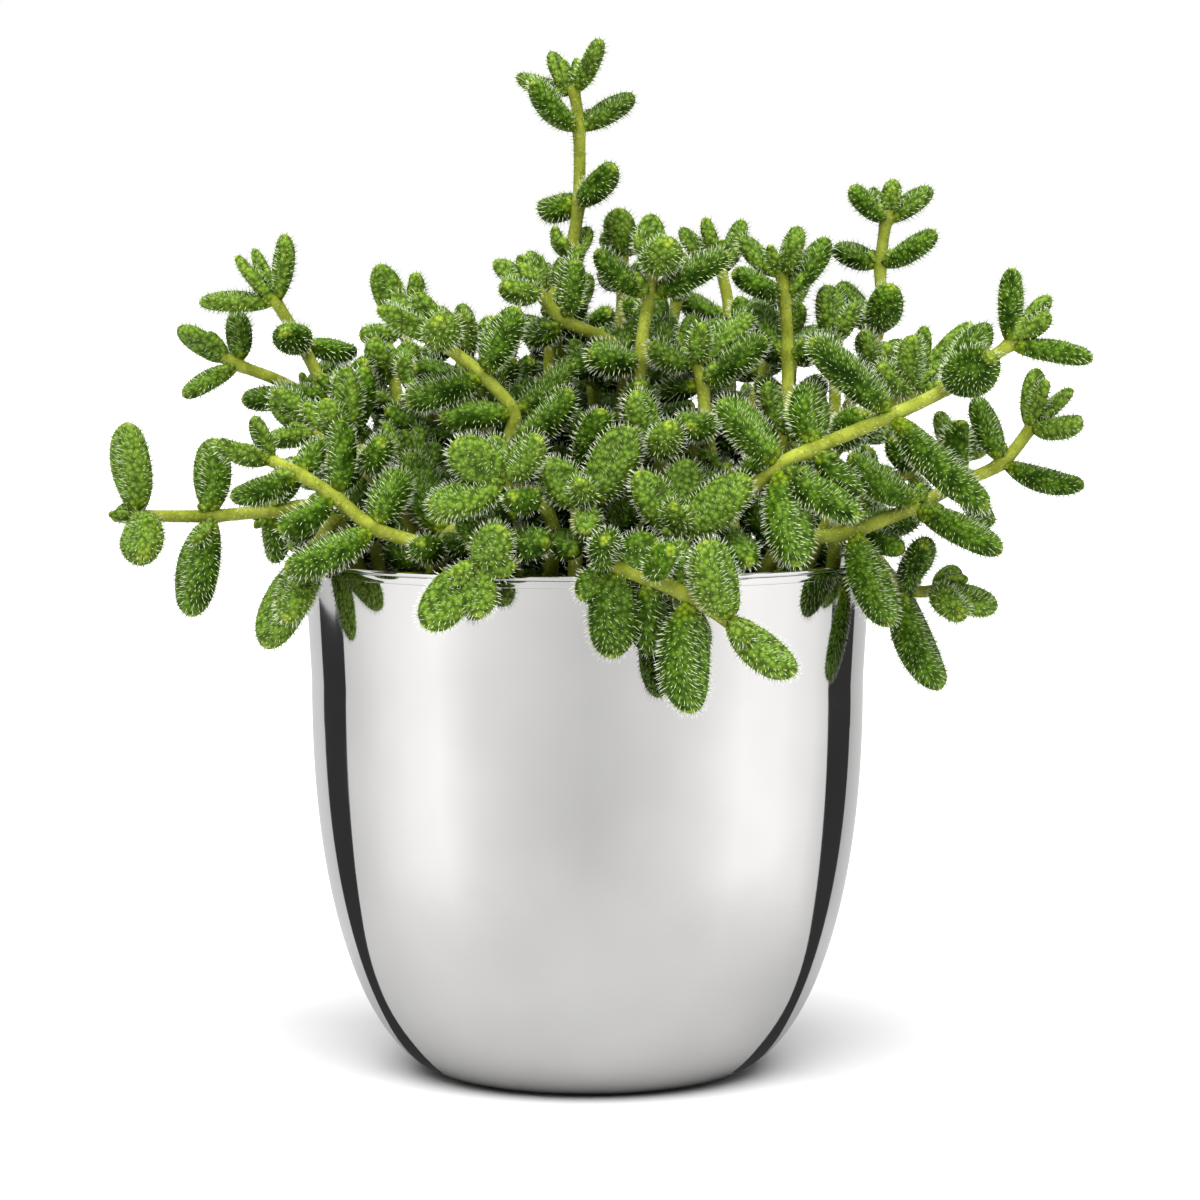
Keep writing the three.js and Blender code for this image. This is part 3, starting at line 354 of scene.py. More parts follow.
            (3, 37.2, 135.9, 1, 3.8), (3, 32.5, 134.1, 2, 3.8)],
    },
    {
        "name": "shoot_back_right_end", "root": (38, 8),
        "points": [(48.3, 111.7, 12), (50.1, 119.6, 14), (51.5, 124.9, 14)],
        "leaves": [(0, 44.1, 116.1, -3, 5.2), (0, 54.3, 115.6, 3, 5.2), (1, 44.4, 123.6, 2, 5),
            (1, 55.9, 121.3, -2, 5), (2, 48.3, 131, -2, 5), (2, 55.3, 129.2, 2, 4.6)],
    },
    {
        "name": "shoot_left_inner", "root": (-31, 6),
        "points": [(-37.9, 106.4, 4), (-42.7, 110.8, 3), (-48.5, 113.4, 3)],
        "leaves": [(0, -41.8, 115.2, 2, 5.4), (0, -34.4, 111.7, -3, 5), (1, -43.9, 105, 1, 5.2),
            (2, -55.5, 120.1, 0, 5.6), (2, -56.2, 111.7, -3, 4.6), (2, -48.9, 118.7, 4, 4)],
    },
    {
        "name": "shoot_left_back_inner", "root": (-25, 15),
        "points": [(-31.3, 109.9, 11), (-33, 117.8, 13), (-34.4, 123.6, 14)],
        "leaves": [(0, -37.9, 114.3, -3, 5.4), (0, -26, 113.4, 2, 5.4), (1, -39.7, 120.8, 2, 5.4),
            (1, -27.4, 121.9, -3, 5.4), (2, -37.9, 129.6, -2, 5.2), (2, -30.6, 128.9, 2, 4.8)],
    },
    {
        "name": "shoot_back_left_centre", "root": (-14, 11),
        "points": [(-14, 113.4, 11), (-15.4, 121.3, 12), (-17, 127.8, 13)],
        "leaves": [(0, -19.8, 117, -3, 5.2), (0, -8.4, 117.8, 2, 5.2), (1, -21.4, 125.4, 2, 5.2),
            (1, -9.3, 126.1, -3, 5.4), (2, -14, 135.9, 1, 5.2), (2, -22.5, 133.4, -2, 4.8)],
    },
]


def seen(x, z, depth):
    # the place at a depth that shows at x and z from the viewing point
    onPlane = np.array([x, 0.0, z])
    return eye + (onPlane - eye) * ((depth - eye[1]) / -eye[1])


def curvePoint(points, share):
    # a smooth curve through the points, with even steps between them
    last = len(points) - 1
    place = last * share
    i = min(int(math.floor(place)), last - 1)
    t = place - i
    start, end = points[i], points[i + 1]
    before = points[i - 1] if i > 0 else 2 * points[0] - points[1]
    after = points[i + 2] if i + 2 <= last else 2 * points[last] - points[last - 1]
    slopeIn, slopeOut = (end - before) / 2, (after - start) / 2
    square = 3 * (end - start) - 2 * slopeIn - slopeOut
    cube = 2 * (start - end) + slopeIn + slopeOut
    return start + t * (slopeIn + t * (square + t * cube))


def curveAhead(points, share):
    nudge = 0.0001
    return unit(curvePoint(points, min(share + nudge, 1)) - curvePoint(points, max(share - nudge, 0)))


# Room already taken, as balls along every stem and leaf
mostBalls = 40000
room = {
    "at": np.zeros((mostBalls, 3)), "radius": np.zeros(mostBalls), "owner": np.zeros(mostBalls, int),
    "count": 0,
}


def takeRoom(at, radius, owner):
    first, last = room["count"], room["count"] + len(at)
    room["at"][first:last] = at
    room["radius"][first:last] = radius
    room["owner"][first:last] = owner
    room["count"] = last


def clearOfPot(at, radius):
    out = np.hypot(at[:, 0], at[:, 1])
    reach = radius + bush["clearance"]
    above = at[:, 2] - reach > pot["height"]
    outside = (out - reach > pot["rimRadius"]) & (at[:, 2] > reach)
    inside = out + reach < pot["rimRadius"] - pot["wall"] - bush["wallRoom"]
    inside &= at[:, 2] - reach > bush["soilTop"]
    return above | outside | inside


def ballGaps(at, radius):
    count = room["count"]
    squares = ((at[:, None, :] - room["at"][None, :count]) ** 2).sum(axis=2)
    return squares, radius[:, None] + room["radius"][None, :count], room["owner"][:count]


def stemIsClear(at, radius, owner):
    free = at[:, 2] > bush["stemCollar"] + bush["collarRoom"]
    if not clearOfPot(at[free], radius[free]).all():
        return False
    if room["count"] == 0:
        return True
    squares, touching, owners = ballGaps(at, radius)
    return not ((squares < (touching + bush["clearance"]) ** 2) & (owners != owner)).any()


def leafIsClear(at, radius, owner, joint):
    beyond = leafOutline[:, 0] > bush["neckShare"]
    if not clearOfPot(at[beyond], radius[beyond]).all():
        return False
    squares, touching, owners = ballGaps(at, radius)
    if ((squares < (touching + bush["clearance"]) ** 2) & (owners != owner)).any():
        return False
    far = np.linalg.norm(room["at"][:room["count"]] - joint, axis=1) >= bush["jointReach"]
    own = (owners == owner) & far
    free = leafOutline[:, 0] > bush["freeShare"]
    return not ((squares < (touching - bush["ownOverlap"]) ** 2) & own & free[:, None]).any()


def turnedLeaf(base, tip, depthTurn, sideTurn, size):
    reach = tip - base
    depthAxis = np.cross((0.0, 1.0, 0.0), reach)
    if np.linalg.norm(depthAxis) < bush["steepShare"] * np.linalg.norm(reach):
        depthAxis = np.array([1.0, 0.0, 0.0])
    depthAxis = unit(depthAxis)
    sideAxis = unit(np.cross(depthAxis, reach))
    reach = rotated(reach, depthAxis, math.radians(depthTurn))
    reach = rotated(reach, sideAxis, math.radians(sideTurn))
    return base + reach * size


def leafFoot(points, number, wanted):
    # where a leaf leaves its stem: on the side that it points to
    joint = curvePoint(points, number / (len(points) - 1))
    ahead = curveAhead(points, number / (len(points) - 1))
    sideways = wanted - joint
    sideways = sideways - ahead * np.dot(sideways, ahead)
    distance = np.linalg.norm(sideways)
    foot = joint + sideways / distance * min(1, distance / bush["footRamp"]) * bush["footDepth"]
    if number == len(points) - 1:
        foot = foot - ahead * bush["endDepth"]
    return foot


def growLeaf(stem, number, wanted, thickness, kind="leaf", tries=leafTries):
    points = stem["points"]
    base = leafFoot(points, number, wanted)
    for depthTurn, sideTurn, size in tries:
        tip = turnedLeaf(base, wanted, depthTurn, sideTurn, size)
        girth = thickness * (1 - bush["thinningShare"] * (1 - size))
        at = base + (tip - base) * leafOutline[:, :1]
        radius = bush["facetRoom"] * girth / 2 * leafOutline[:, 1]
        if leafIsClear(at, radius, stem["owner"], base):
            takeRoom(at, radius, stem["owner"])
            leaf = {"number": number, "base": base, "tip": tip, "thickness": girth, "kind": kind}
            stem["leaves"].append(leaf)
            return True
    return False


def newStem(name, points, owner, **more):
    share = np.linspace(0, 1, (len(points) - 1) * bush["ballsPerStep"] + 1)
    at = np.array([curvePoint(points, s) for s in share])
    return {"name": name, "points": points, "owner": owner, "leaves": [], "at": at,
            "radius": np.full(len(at), bush["stemRadius"]), **more}


def footPoints(x, y):
    return [np.array([x, y, bush["stemFoot"]], float), np.array([x, y, bush["stemCollar"]], float)]


def innerPoints(index, draws, turn, lift, moveX, moveY):
    # up from the soil, then arching out to the bush's surface
    share = math.sqrt((index + 0.5) / bush["innerPlaces"])
    angle = index * bush["goldenAngle"]
    rootX = math.cos(angle) * bush["rootSpread"] * share + moveX
    rootY = math.sin(angle) * bush["rootSpread"] * share + moveY
    heading = angle + math.radians((draws["heading"] - 0.5) * bush["headingSpread"] + turn)
    fall = bush["riseFall"] * share ** bush["riseBend"]
    rise = math.radians(bush["steepestRise"] - fall + (draws["rise"] - 0.5) * bush["riseSpread"] + lift)
    front = bush["frontShare"] if math.sin(heading) < bush["frontSide"] else 1
    reach = (bush["shortestReach"] + bush["reachSpread"] * draws["reach"]) * front
    out = math.cos(rise) * bush["radius"] * reach
    tip = np.array([math.cos(heading) * out, math.sin(heading) * out,
                    bush["centre"] + math.sin(rise) * bush["rise"] * reach])
    foot, collar = footPoints(rootX, rootY)
    middle = collar + (tip - collar) * (bush["archOut"], bush["archOut"], bush["archUp"])
    middle[2] = max(bush["archHeight"], middle[2])
    length = bush["archSlack"] * (np.linalg.norm(middle - collar) + np.linalg.norm(tip - middle))
    step = bush["jointSpacing"] / length
    joints = [1 - count * step for count in bush["jointsBack"] if 1 - count * step > bush["lowestJoint"]]
    arch = [(1 - t) ** 2 * collar + 2 * t * (1 - t) * middle + t * t * tip for t in joints]
    return [foot, collar] + arch


def growInnerStem(index, owner):
    draw = randomFrom(bush["innerSeed"] + index * bush["seedStep"])
    draws = {name: draw() for name in ("heading", "rise", "reach", "roll")}
    for attempt in stemTries:
        points = innerPoints(index, draws, *attempt)
        name = f"shoot_inner_{index + 1:02d}"
        stem = newStem(name, points, owner, roll=draws["roll"] * math.pi, draw=draw)
        if stemIsClear(stem["at"], stem["radius"], owner):
            takeRoom(stem["at"], stem["radius"], owner)
            return stem
    return None


def fromUp(vector, ahead):
    # turns a vector given about +Z so that +Z becomes ahead
    axis = np.cross((0.0, 0.0, 1.0), ahead)
    sine = np.linalg.norm(axis)
    return rotated(vector, axis / sine, math.atan2(sine, ahead[2])) if sine > 1e-9 else vector


def pairReach(ahead, roll, tilt):
    across = np.array([math.cos(roll) * math.sin(tilt), math.sin(roll) * math.sin(tilt), math.cos(tilt)])
    return fromUp(across, ahead)


def growPairs(stem):
    # pairs of leaves, each pair turned a quarter round the stem from the next
    points, draw = stem["points"], stem["draw"]
    last = len(points) - 1
    for pair, tilt in enumerate(bush["pairTilt"]):
        number = last - pair
        if pair >= last - 2:
            break
        ahead = curveAhead(points, number / last)
        for side in (0, 1):
            roll = stem["roll"] + pair * math.pi / 2 + side * math.pi + (draw() - 0.5) * bush["rollSpread"]
            lean = math.radians(tilt + (draw() - 0.5) * bush["tiltSpread"])
            size = bush["smallestLeaf"] + bush["leafSpread"] * draw()
            tip = points[number] + pairReach(ahead, roll, lean) * bush["pairLength"][pair] * size
            thickness = bush["pairThickness"][pair] * (1 + bush["thicknessShare"] * (size - 1))
            growLeaf(stem, number, tip, thickness)


def growBush():
    stems = []
    for shoot in placedShoots:
        points = footPoints(*shoot["root"]) + [seen(*point) for point in shoot["points"]]
        stem = newStem(shoot["name"], points, len(stems), wanted=shoot["leaves"])
        takeRoom(stem["at"], stem["radius"], stem["owner"])
        stems.append(stem)
    for index in range(bush["innerCount"]):
        stem = growInnerStem(index, len(stems))
        if stem:
            stems.append(stem)
    for stem in stems:
        for number, x, z, depth, thickness in stem.get("wanted", ()):
            base = stem["points"][number + 2]  # the first two points are the foot and the collar
            growLeaf(stem, number + 2, seen(x, z, base[1] + depth), thickness)
    for stem in stems:
        if "draw" in stem:
            growPairs(stem)
    return stems


stems = growBush()
print("laid out", len(stems), "stems with", sum(len(stem["leaves"]) for stem in stems), "leaves")


# What the plant has besides its main leaves: low leaves on bare stretches, side buds and end buds.
# Millimetres and degrees
extras = {
    "seed": 90210,
    "lowLength": 13.0, "lowThickness": 5.4, "lowTilt": 72.0,
    "lowSizes": (0.8, 0.35), "budSizes": (0.7, 0.5), "endSizes": (0.8, 0.4),  # least and what chance adds
    "midCentre": (0.0, 8.0), "midReach": 34.0, "midTop": 126.0,  # in here leaves also grow between joints
    "budChance": 0.55, "budLength": 4.6, "budThickness": 2.1, "budLean": 42.0, "budSpread": 24.0,
    "endLength": 4.8, "endThickness": 2.2, "endSpread": 17.0,
}
budTries = [
    (0, 0, 1), (14, 0, 1), (-14, 0, 1), (0, 14, 1), (0, -14, 1),
    (0, 0, 0.75), (20, 20, 0.75), (-20, -20, 0.75),
]


def byChance(least, spread, draw):
    return least + spread * draw()


def growLowLeaves(stem, draw):
    # joints and mid-stretches that carry no leaf yet get a pair of their own
    points = stem["points"]
    last = len(points) - 1
    for number in np.arange(1, last, 0.5):
        joint = curvePoint(points, number / last)
        apart = np.linalg.norm(joint[:2] - extras["midCentre"])
        if number % 1 and (apart > extras["midReach"] or joint[2] > extras["midTop"]):
            continue
        carried = [leaf for leaf in stem["leaves"] if leaf["number"] == number]
        ahead = curveAhead(points, number / last)
        roll = draw() * math.pi
        for side in range(2 - min(len(carried), 2)):
            if carried:
                away = carried[0]["tip"] - joint
                away = unit(away - ahead * np.dot(away, ahead))
                lean = math.radians(extras["lowTilt"])
                reach = ahead * math.cos(lean) - away * math.sin(lean)
            else:
                reach = pairReach(ahead, roll + side * math.pi, math.radians(extras["lowTilt"]))
            length = extras["lowLength"] * byChance(*extras["lowSizes"], draw)
            growLeaf(stem, number, joint + reach * length, extras["lowThickness"], "low")


def growSideBuds(stem, draw):
    points = stem["points"]
    last = len(points) - 1
    for leaf in [leaf for leaf in stem["leaves"] if leaf["kind"] != "bud" and leaf["number"] < last]:
        if draw() > extras["budChance"]:
            continue
        ahead = curveAhead(points, leaf["number"] / last)
        away = leaf["tip"] - leaf["base"]
        away = unit(away - ahead * np.dot(away, ahead))
        lean = math.radians(extras["budLean"])
        middle = ahead * math.cos(lean) + away * math.sin(lean)
        across = unit(np.cross(ahead, away))
        spread = math.radians(extras["budSpread"])
        for side in (-1, 1):
            size = byChance(*extras["budSizes"], draw)
            reach = middle * math.cos(spread) + across * side * math.sin(spread)
            tip = curvePoint(points, leaf["number"] / last) + reach * extras["budLength"] * size
            growLeaf(stem, leaf["number"], tip, extras["budThickness"] * size, "bud", budTries)


def growEndBuds(stem, draw):
    points = stem["points"]
    ahead = curveAhead(points, 1)
    roll = draw() * math.pi
    for side in (0, 1):
        reach = pairReach(ahead, roll + side * math.pi, math.radians(extras["endSpread"]))
        size = byChance(*extras["endSizes"], draw)
        tip = points[-1] + reach * extras["endLength"] * size
        growLeaf(stem, len(points) - 1, tip, extras["endThickness"] * size, "bud", budTries)


extraDraw = randomFrom(extras["seed"])
for grow in (growLowLeaves, growEndBuds, growSideBuds):
    for stem in stems:
        grow(stem, extraDraw)
kinds = [leaf["kind"] for stem in stems for leaf in stem["leaves"]]
print("leaves:", {kind: kinds.count(kind) for kind in sorted(set(kinds))})


# Leaf form: shares of a leaf's length, width or thickness. How thin a young leaf is, and the heart,
# are in millimetres
leafForm = {
    "neckWidth": 0.2, "neckBulge": 0.8, "neckRound": 0.8, "tipRound": 2.6, "tipBlunt": 0.55,
    "width": 1.15, "depth": 0.95,
    "youngBelow": 2.6, "youngFade": 2.6, "endYoung": 0.55,  # thin leaves and those at a stem's end are young
    "flatTop": 0.22, "grooveDepth": (0.16, 0.4), "grooveWidth": 0.32,
    "grooveStart": (0.08, 0.3), "grooveEnd": (0.04, 0.25),
    "curve": (-0.05, 0.05), "wave": 0.035, "wavesRound": 3, "waveTwist": 5, "waveShift": 6.28,
    "lightSide": (0.0, -0.75, 0.65), "lightTurn": 0.5, "leastTurned": 0.05,  # its upper side turns to light
    "upperCrowding": 0.35,  # points stand closer on the grooved upper side
    "sides": {"leaf": 20, "low": 12, "bud": 8}, "rings": {"leaf": 15, "low": 9, "bud": 7},
    "heart": (0.0, 0.0, 92.0), "heartReach": (26.0, 54.0),  # painted shade: leaves in the bush's heart are painted darker
    "tones": (0.25, 0.75), "sideHint": (0.3, 0.5, 0.2),
}
# Stem form, in millimetres
stemForm = {
    "sides": 12, "ringStep": 1.3, "footRadius": 1.35, "tipRadius": 1.05,
    "jointSwell": 0.24, "jointWidth": 1.3, "endRound": 0.6,
    "stout": {"shoot_front_trailing": 1.22}, "stoutFrom": (80.0, 86.0),
    "finePerStep": 16, "sideHint": (0.31, 0.95, 0.1),
}
# Bristles, in millimetres. They are finer on the plant; these are as coarse as they need to be to show
bristleForm = {
    "length": 1.2, "radius": 0.095, "sink": 0.06,
    "spacing": 0.62, "lean": 0.35, "lengthSpread": 0.25, "scatter": 0.2,
    "onStem": 0.8, "onBud": 0.78, "onNeck": 0.7, "stemCover": 0.5, "lowCover": 0.6, "seed": 11,
    "neckFade": (0.05, 0.3), "footFade": (0.03, 0.12), "aboveCollar": 2.0, "mostPerSquareMetre": 4e6,
}
valueNames = (
    "leafAlong", "leafUpper", "leafAge", "leafToneAndHeartShade", "stemAlong", "stemJoint", "bristleSize", "bristleCover",
)


def leafWidth(share):
    # a narrow neck, widest halfway, blunt at the tip
    form = leafForm
    early = (1 - (1 - 2 * np.minimum(share, 0.5)) ** 2) ** form["neckRound"]
    early = form["neckWidth"] + form["neckBulge"] * early
    late = (1 - (2 * np.maximum(share, 0.5) - 1) ** form["tipRound"]) ** form["tipBlunt"]
    return np.where(share < 0.5, early, late)


def newParts():
    return {"points": [], "faces": [], "materials": [], "aims": [], "count": 0,
            "values": {name: [] for name in valueNames}}


def tubeFaces(first, count, sides):
    # a start point, then rings, counter-clockwise seen from the far end, then an end point
    around = np.arange(sides)
    following = (around + 1) % sides
    rings = first + 1
    faces = [(first, rings + b, rings + a) for a, b in zip(around, following)]
    for ring in range(count - 1):
        low, high = rings + ring * sides, rings + (ring + 1) * sides
        faces += [(low + a, low + b, high + b, high + a) for a, b in zip(around, following)]
    top, end = rings + (count - 1) * sides, rings + count * sides
    return faces + [(end, top + a, top + b) for a, b in zip(around, following)]


def addTube(parts, rings, start, end, aims, values, material):
    count, sides = rings.shape[:2]
    parts["points"] += [start[None], rings.reshape(-1, 3), end[None]]
    parts["aims"].append(aims)
    for name in valueNames:
        parts["values"][name].append(np.broadcast_to(values.get(name, 0.0), (count * sides + 2,)))
    faces = tubeFaces(parts["count"], count, sides)
    parts["faces"] += faces
    parts["materials"] += [material] * len(faces)
    parts["count"] += count * sides + 2


def leafUp(stem, leaf):
    # the upper side of a leaf: it faces the end of its stem, turned some way towards the light
    stemAhead = curveAhead(stem["points"], leaf["number"] / (len(stem["points"]) - 1))
    ahead = unit(leaf["tip"] - leaf["base"])
    cosine = float(np.dot(ahead, stemAhead))
    sideways = ahead - stemAhead * cosine
    if np.linalg.norm(sideways) < 1e-6:
        sideways = np.cross(stemAhead, leafForm["sideHint"])
    grown = unit(stemAhead * math.sqrt(max(1 - cosine * cosine, 0)) - unit(sideways) * cosine)
    lightWay = np.array(leafForm["lightSide"])
    lightWay = lightWay - ahead * np.dot(lightWay, ahead)
    turned = grown * (1 - leafForm["lightTurn"]) + lightWay * leafForm["lightTurn"]
    turned = turned - ahead * np.dot(turned, ahead)
    return unit(turned) if np.linalg.norm(turned) > leafForm["leastTurned"] else grown


def addLeaf(parts, stem, leaf, draw):
    form, thickness = leafForm, leaf["thickness"]
    sides, count = form["sides"][leaf["kind"]], form["rings"][leaf["kind"]]
    ahead = unit(leaf["tip"] - leaf["base"])
    length = np.linalg.norm(leaf["tip"] - leaf["base"])
    up = leafUp(stem, leaf)
    across = np.cross(up, ahead)
    share = 0.5 - 0.5 * np.cos(math.pi * np.arange(1, count + 1) / (count + 1))
    width = leafWidth(share)[:, None] * thickness / 2
    angle = 2 * math.pi * np.arange(sides) / sides
    angle = angle + form["upperCrowding"] * np.cos(angle)
    flat, high = np.cos(angle)[None], np.sin(angle)[None]
    young = 1 - np.clip((thickness - form["youngBelow"]) / form["youngFade"], 0, 1)
    if leaf["number"] == len(stem["points"]) - 1:
        young = max(young, form["endYoung"])
    shallow, deep = form["grooveDepth"]
    groove = shallow + (deep - shallow) * (0.5 * draw() + 0.5 * young)
    envelope = (bend01(share, *form["grooveStart"]) * bend01(1 - share, *form["grooveEnd"]))[:, None]
    lowered = form["flatTop"] * np.maximum(high, 0) ** 2
    lowered = lowered + groove * np.exp(-(flat / form["grooveWidth"]) ** 2) * (high > 0)
    twist = form["wavesRound"] * angle[None] + form["waveTwist"] * share[:, None]
    wave = 1 + form["wave"] * np.sin(twist + form["waveShift"] * draw())
    x = flat * width * form["width"] * wave
    y = (high - lowered * envelope) * width * form["depth"] * wave
    inward, outward = form["curve"]
    curve = (inward + (outward - inward) * draw()) * length
    lift = curve * (4 * share * (share - 1))[:, None]
    spine = leaf["base"] + ahead * (length * share)[:, None]
    rings = spine[:, None] + across * x[..., None] + up * (y + lift)[..., None]
    shares = np.concatenate([[0.0], np.repeat(share, sides), [1.0]])
    size = bristleForm["onNeck"] + (1 - bristleForm["onNeck"]) * bend01(shares, *bristleForm["neckFade"])
    # painted shade: leaves near the bush's heart get a low value, which the skin and hairs paint darker
    fromHeart = np.linalg.norm((leaf["base"] + leaf["tip"]) / 2 - form["heart"])
    toneAndHeartShade = bend01(fromHeart, *form["heartReach"]) * byChance(*form["tones"], draw)
    cover = bristleForm["lowCover"] if leaf["kind"] == "low" else 1
    # the upper-side value marks the side turned to the light, which the skin paints paler as painted light
    values = {
        "leafAlong": shares, "leafUpper": np.concatenate([[0.0], np.tile(high[0], count), [0.0]]),
        "leafAge": 1 - young, "leafToneAndHeartShade": toneAndHeartShade,
        "bristleSize": size * (bristleForm["onBud"] if leaf["kind"] == "bud" else 1),
        "bristleCover": bend01(shares, *bristleForm["footFade"]) * cover,
    }
    addTube(parts, rings, leaf["base"], leaf["tip"], np.tile(ahead, (len(shares), 1)), values, 0)


def addStem(parts, stem):
    form, points = stemForm, stem["points"]
    last = len(points) - 1
    fineShares = np.linspace(0, 1, last * form["finePerStep"] + 1)
    fine = np.array([curvePoint(points, s) for s in fineShares])
    steps = np.linalg.norm(np.diff(fine, axis=0), axis=1)
    travelled = np.concatenate([[0], np.cumsum(steps)])
    total = travelled[-1]
    distance = np.linspace(0, total, int(total / form["ringStep"]) + 1)
    places = np.interp(distance, travelled, fineShares)
    centres = np.array([curvePoint(points, s) for s in places])
    joints = np.interp(np.arange(2, last + 1) / last, fineShares, travelled)
    nearness = np.exp(-((distance[:, None] - joints[None]) / form["jointWidth"]) ** 2).max(axis=1)
    radius = form["footRadius"] + (form["tipRadius"] - form["footRadius"]) * distance / total
    stoutness = form["stout"].get(stem["name"], 1) - 1
    stout = 1 + stoutness * bend01(centres[:, 2], *form["stoutFrom"])
    radius = (radius + form["jointSwell"] * nearness) * stout
    angle = 2 * math.pi * np.arange(form["sides"]) / form["sides"]
    ahead = curveAhead(points, 0)
    across = unit(np.cross(ahead, form["sideHint"]))
    rings, aims = [], [ahead]
    for i, share in enumerate(places):
        ahead = curveAhead(points, share)
        across = unit(across - ahead * np.dot(across, ahead))
        other = np.cross(ahead, across)
        ring = across * np.cos(angle)[:, None] + other * np.sin(angle)[:, None]
        rings.append(centres[i] + ring * radius[i])
        aims += [ahead] * form["sides"]
    aims.append(ahead)
    end = centres[-1] + ahead * form["endRound"]
    rise = np.concatenate([[0.0], np.repeat(distance / total, form["sides"]), [1.0]])
    joint = np.concatenate([[0.0], np.repeat(nearness, form["sides"]), [1.0]])
    height = np.concatenate([[centres[0][2]], np.repeat(centres[:, 2], form["sides"]), [end[2]]])
    hairy = height > bush["stemCollar"] + bristleForm["aboveCollar"]
    values = {
        "stemAlong": rise, "stemJoint": joint, "leafToneAndHeartShade": 0.5, "bristleSize": bristleForm["onStem"],
        "bristleCover": bristleForm["stemCover"] * hairy,
    }
    addTube(parts, np.array(rings), centres[0], end, np.array(aims), values, 1)


def meshFrom(name, parts, materials):
    mesh = bpy.data.meshes.new(name)
    mesh.from_pydata(np.concatenate(parts["points"]) * mm, [], parts["faces"])
    for material in materials:
        mesh.materials.append(material)
    mesh.polygons.foreach_set("material_index", parts["materials"])
    mesh.shade_smooth()
    for valueName, arrays in parts["values"].items():
        layer = mesh.attributes.new(valueName, "FLOAT", "POINT")
        layer.data.foreach_set("value", np.concatenate(arrays).astype(np.float32))
    aim = mesh.attributes.new("bristleAim", "FLOAT_VECTOR", "POINT")
    aim.data.foreach_set("vector", np.concatenate(parts["aims"]).astype(np.float32).ravel())
    return mesh


def newPiece(name, mesh):
    piece = bpy.data.objects.new(name, mesh)
    scene.collection.objects.link(piece)
    return piece


def newTree(name, sizes, seed):
    # a geometry tree with named inputs for its sizes, which are in metres or plain shares, and a seed
    tree = bpy.data.node_groups.new(name, "GeometryNodeTree")
    face = tree.interface
    face.new_socket("Geometry", in_out="INPUT", socket_type="NodeSocketGeometry")
    for inputName, value in sizes.items():
        face.new_socket(inputName, in_out="INPUT", socket_type="NodeSocketFloat").default_value = value
    face.new_socket("Seed", in_out="INPUT", socket_type="NodeSocketInt").default_value = seed
    face.new_socket("Geometry", in_out="OUTPUT", socket_type="NodeSocketGeometry")
    return tree, addNode(tree, "NodeGroupInput").outputs


def plantAndFinish(tree, given, planted, material):
    # the copies become real faces in their material and join what they stand on
    real = addNode(tree, "GeometryNodeRealizeInstances", {"Geometry": planted.outputs[0]})
    dressed = addNode(tree, "GeometryNodeSetMaterial", {"Geometry": real.outputs[0], "Material": material})
    joined = addNode(tree, "GeometryNodeJoinGeometry", {0: dressed.outputs[0]})
    tree.links.new(given["Geometry"], joined.inputs[0])
    addNode(tree, "NodeGroupOutput", {0: joined.outputs[0]})


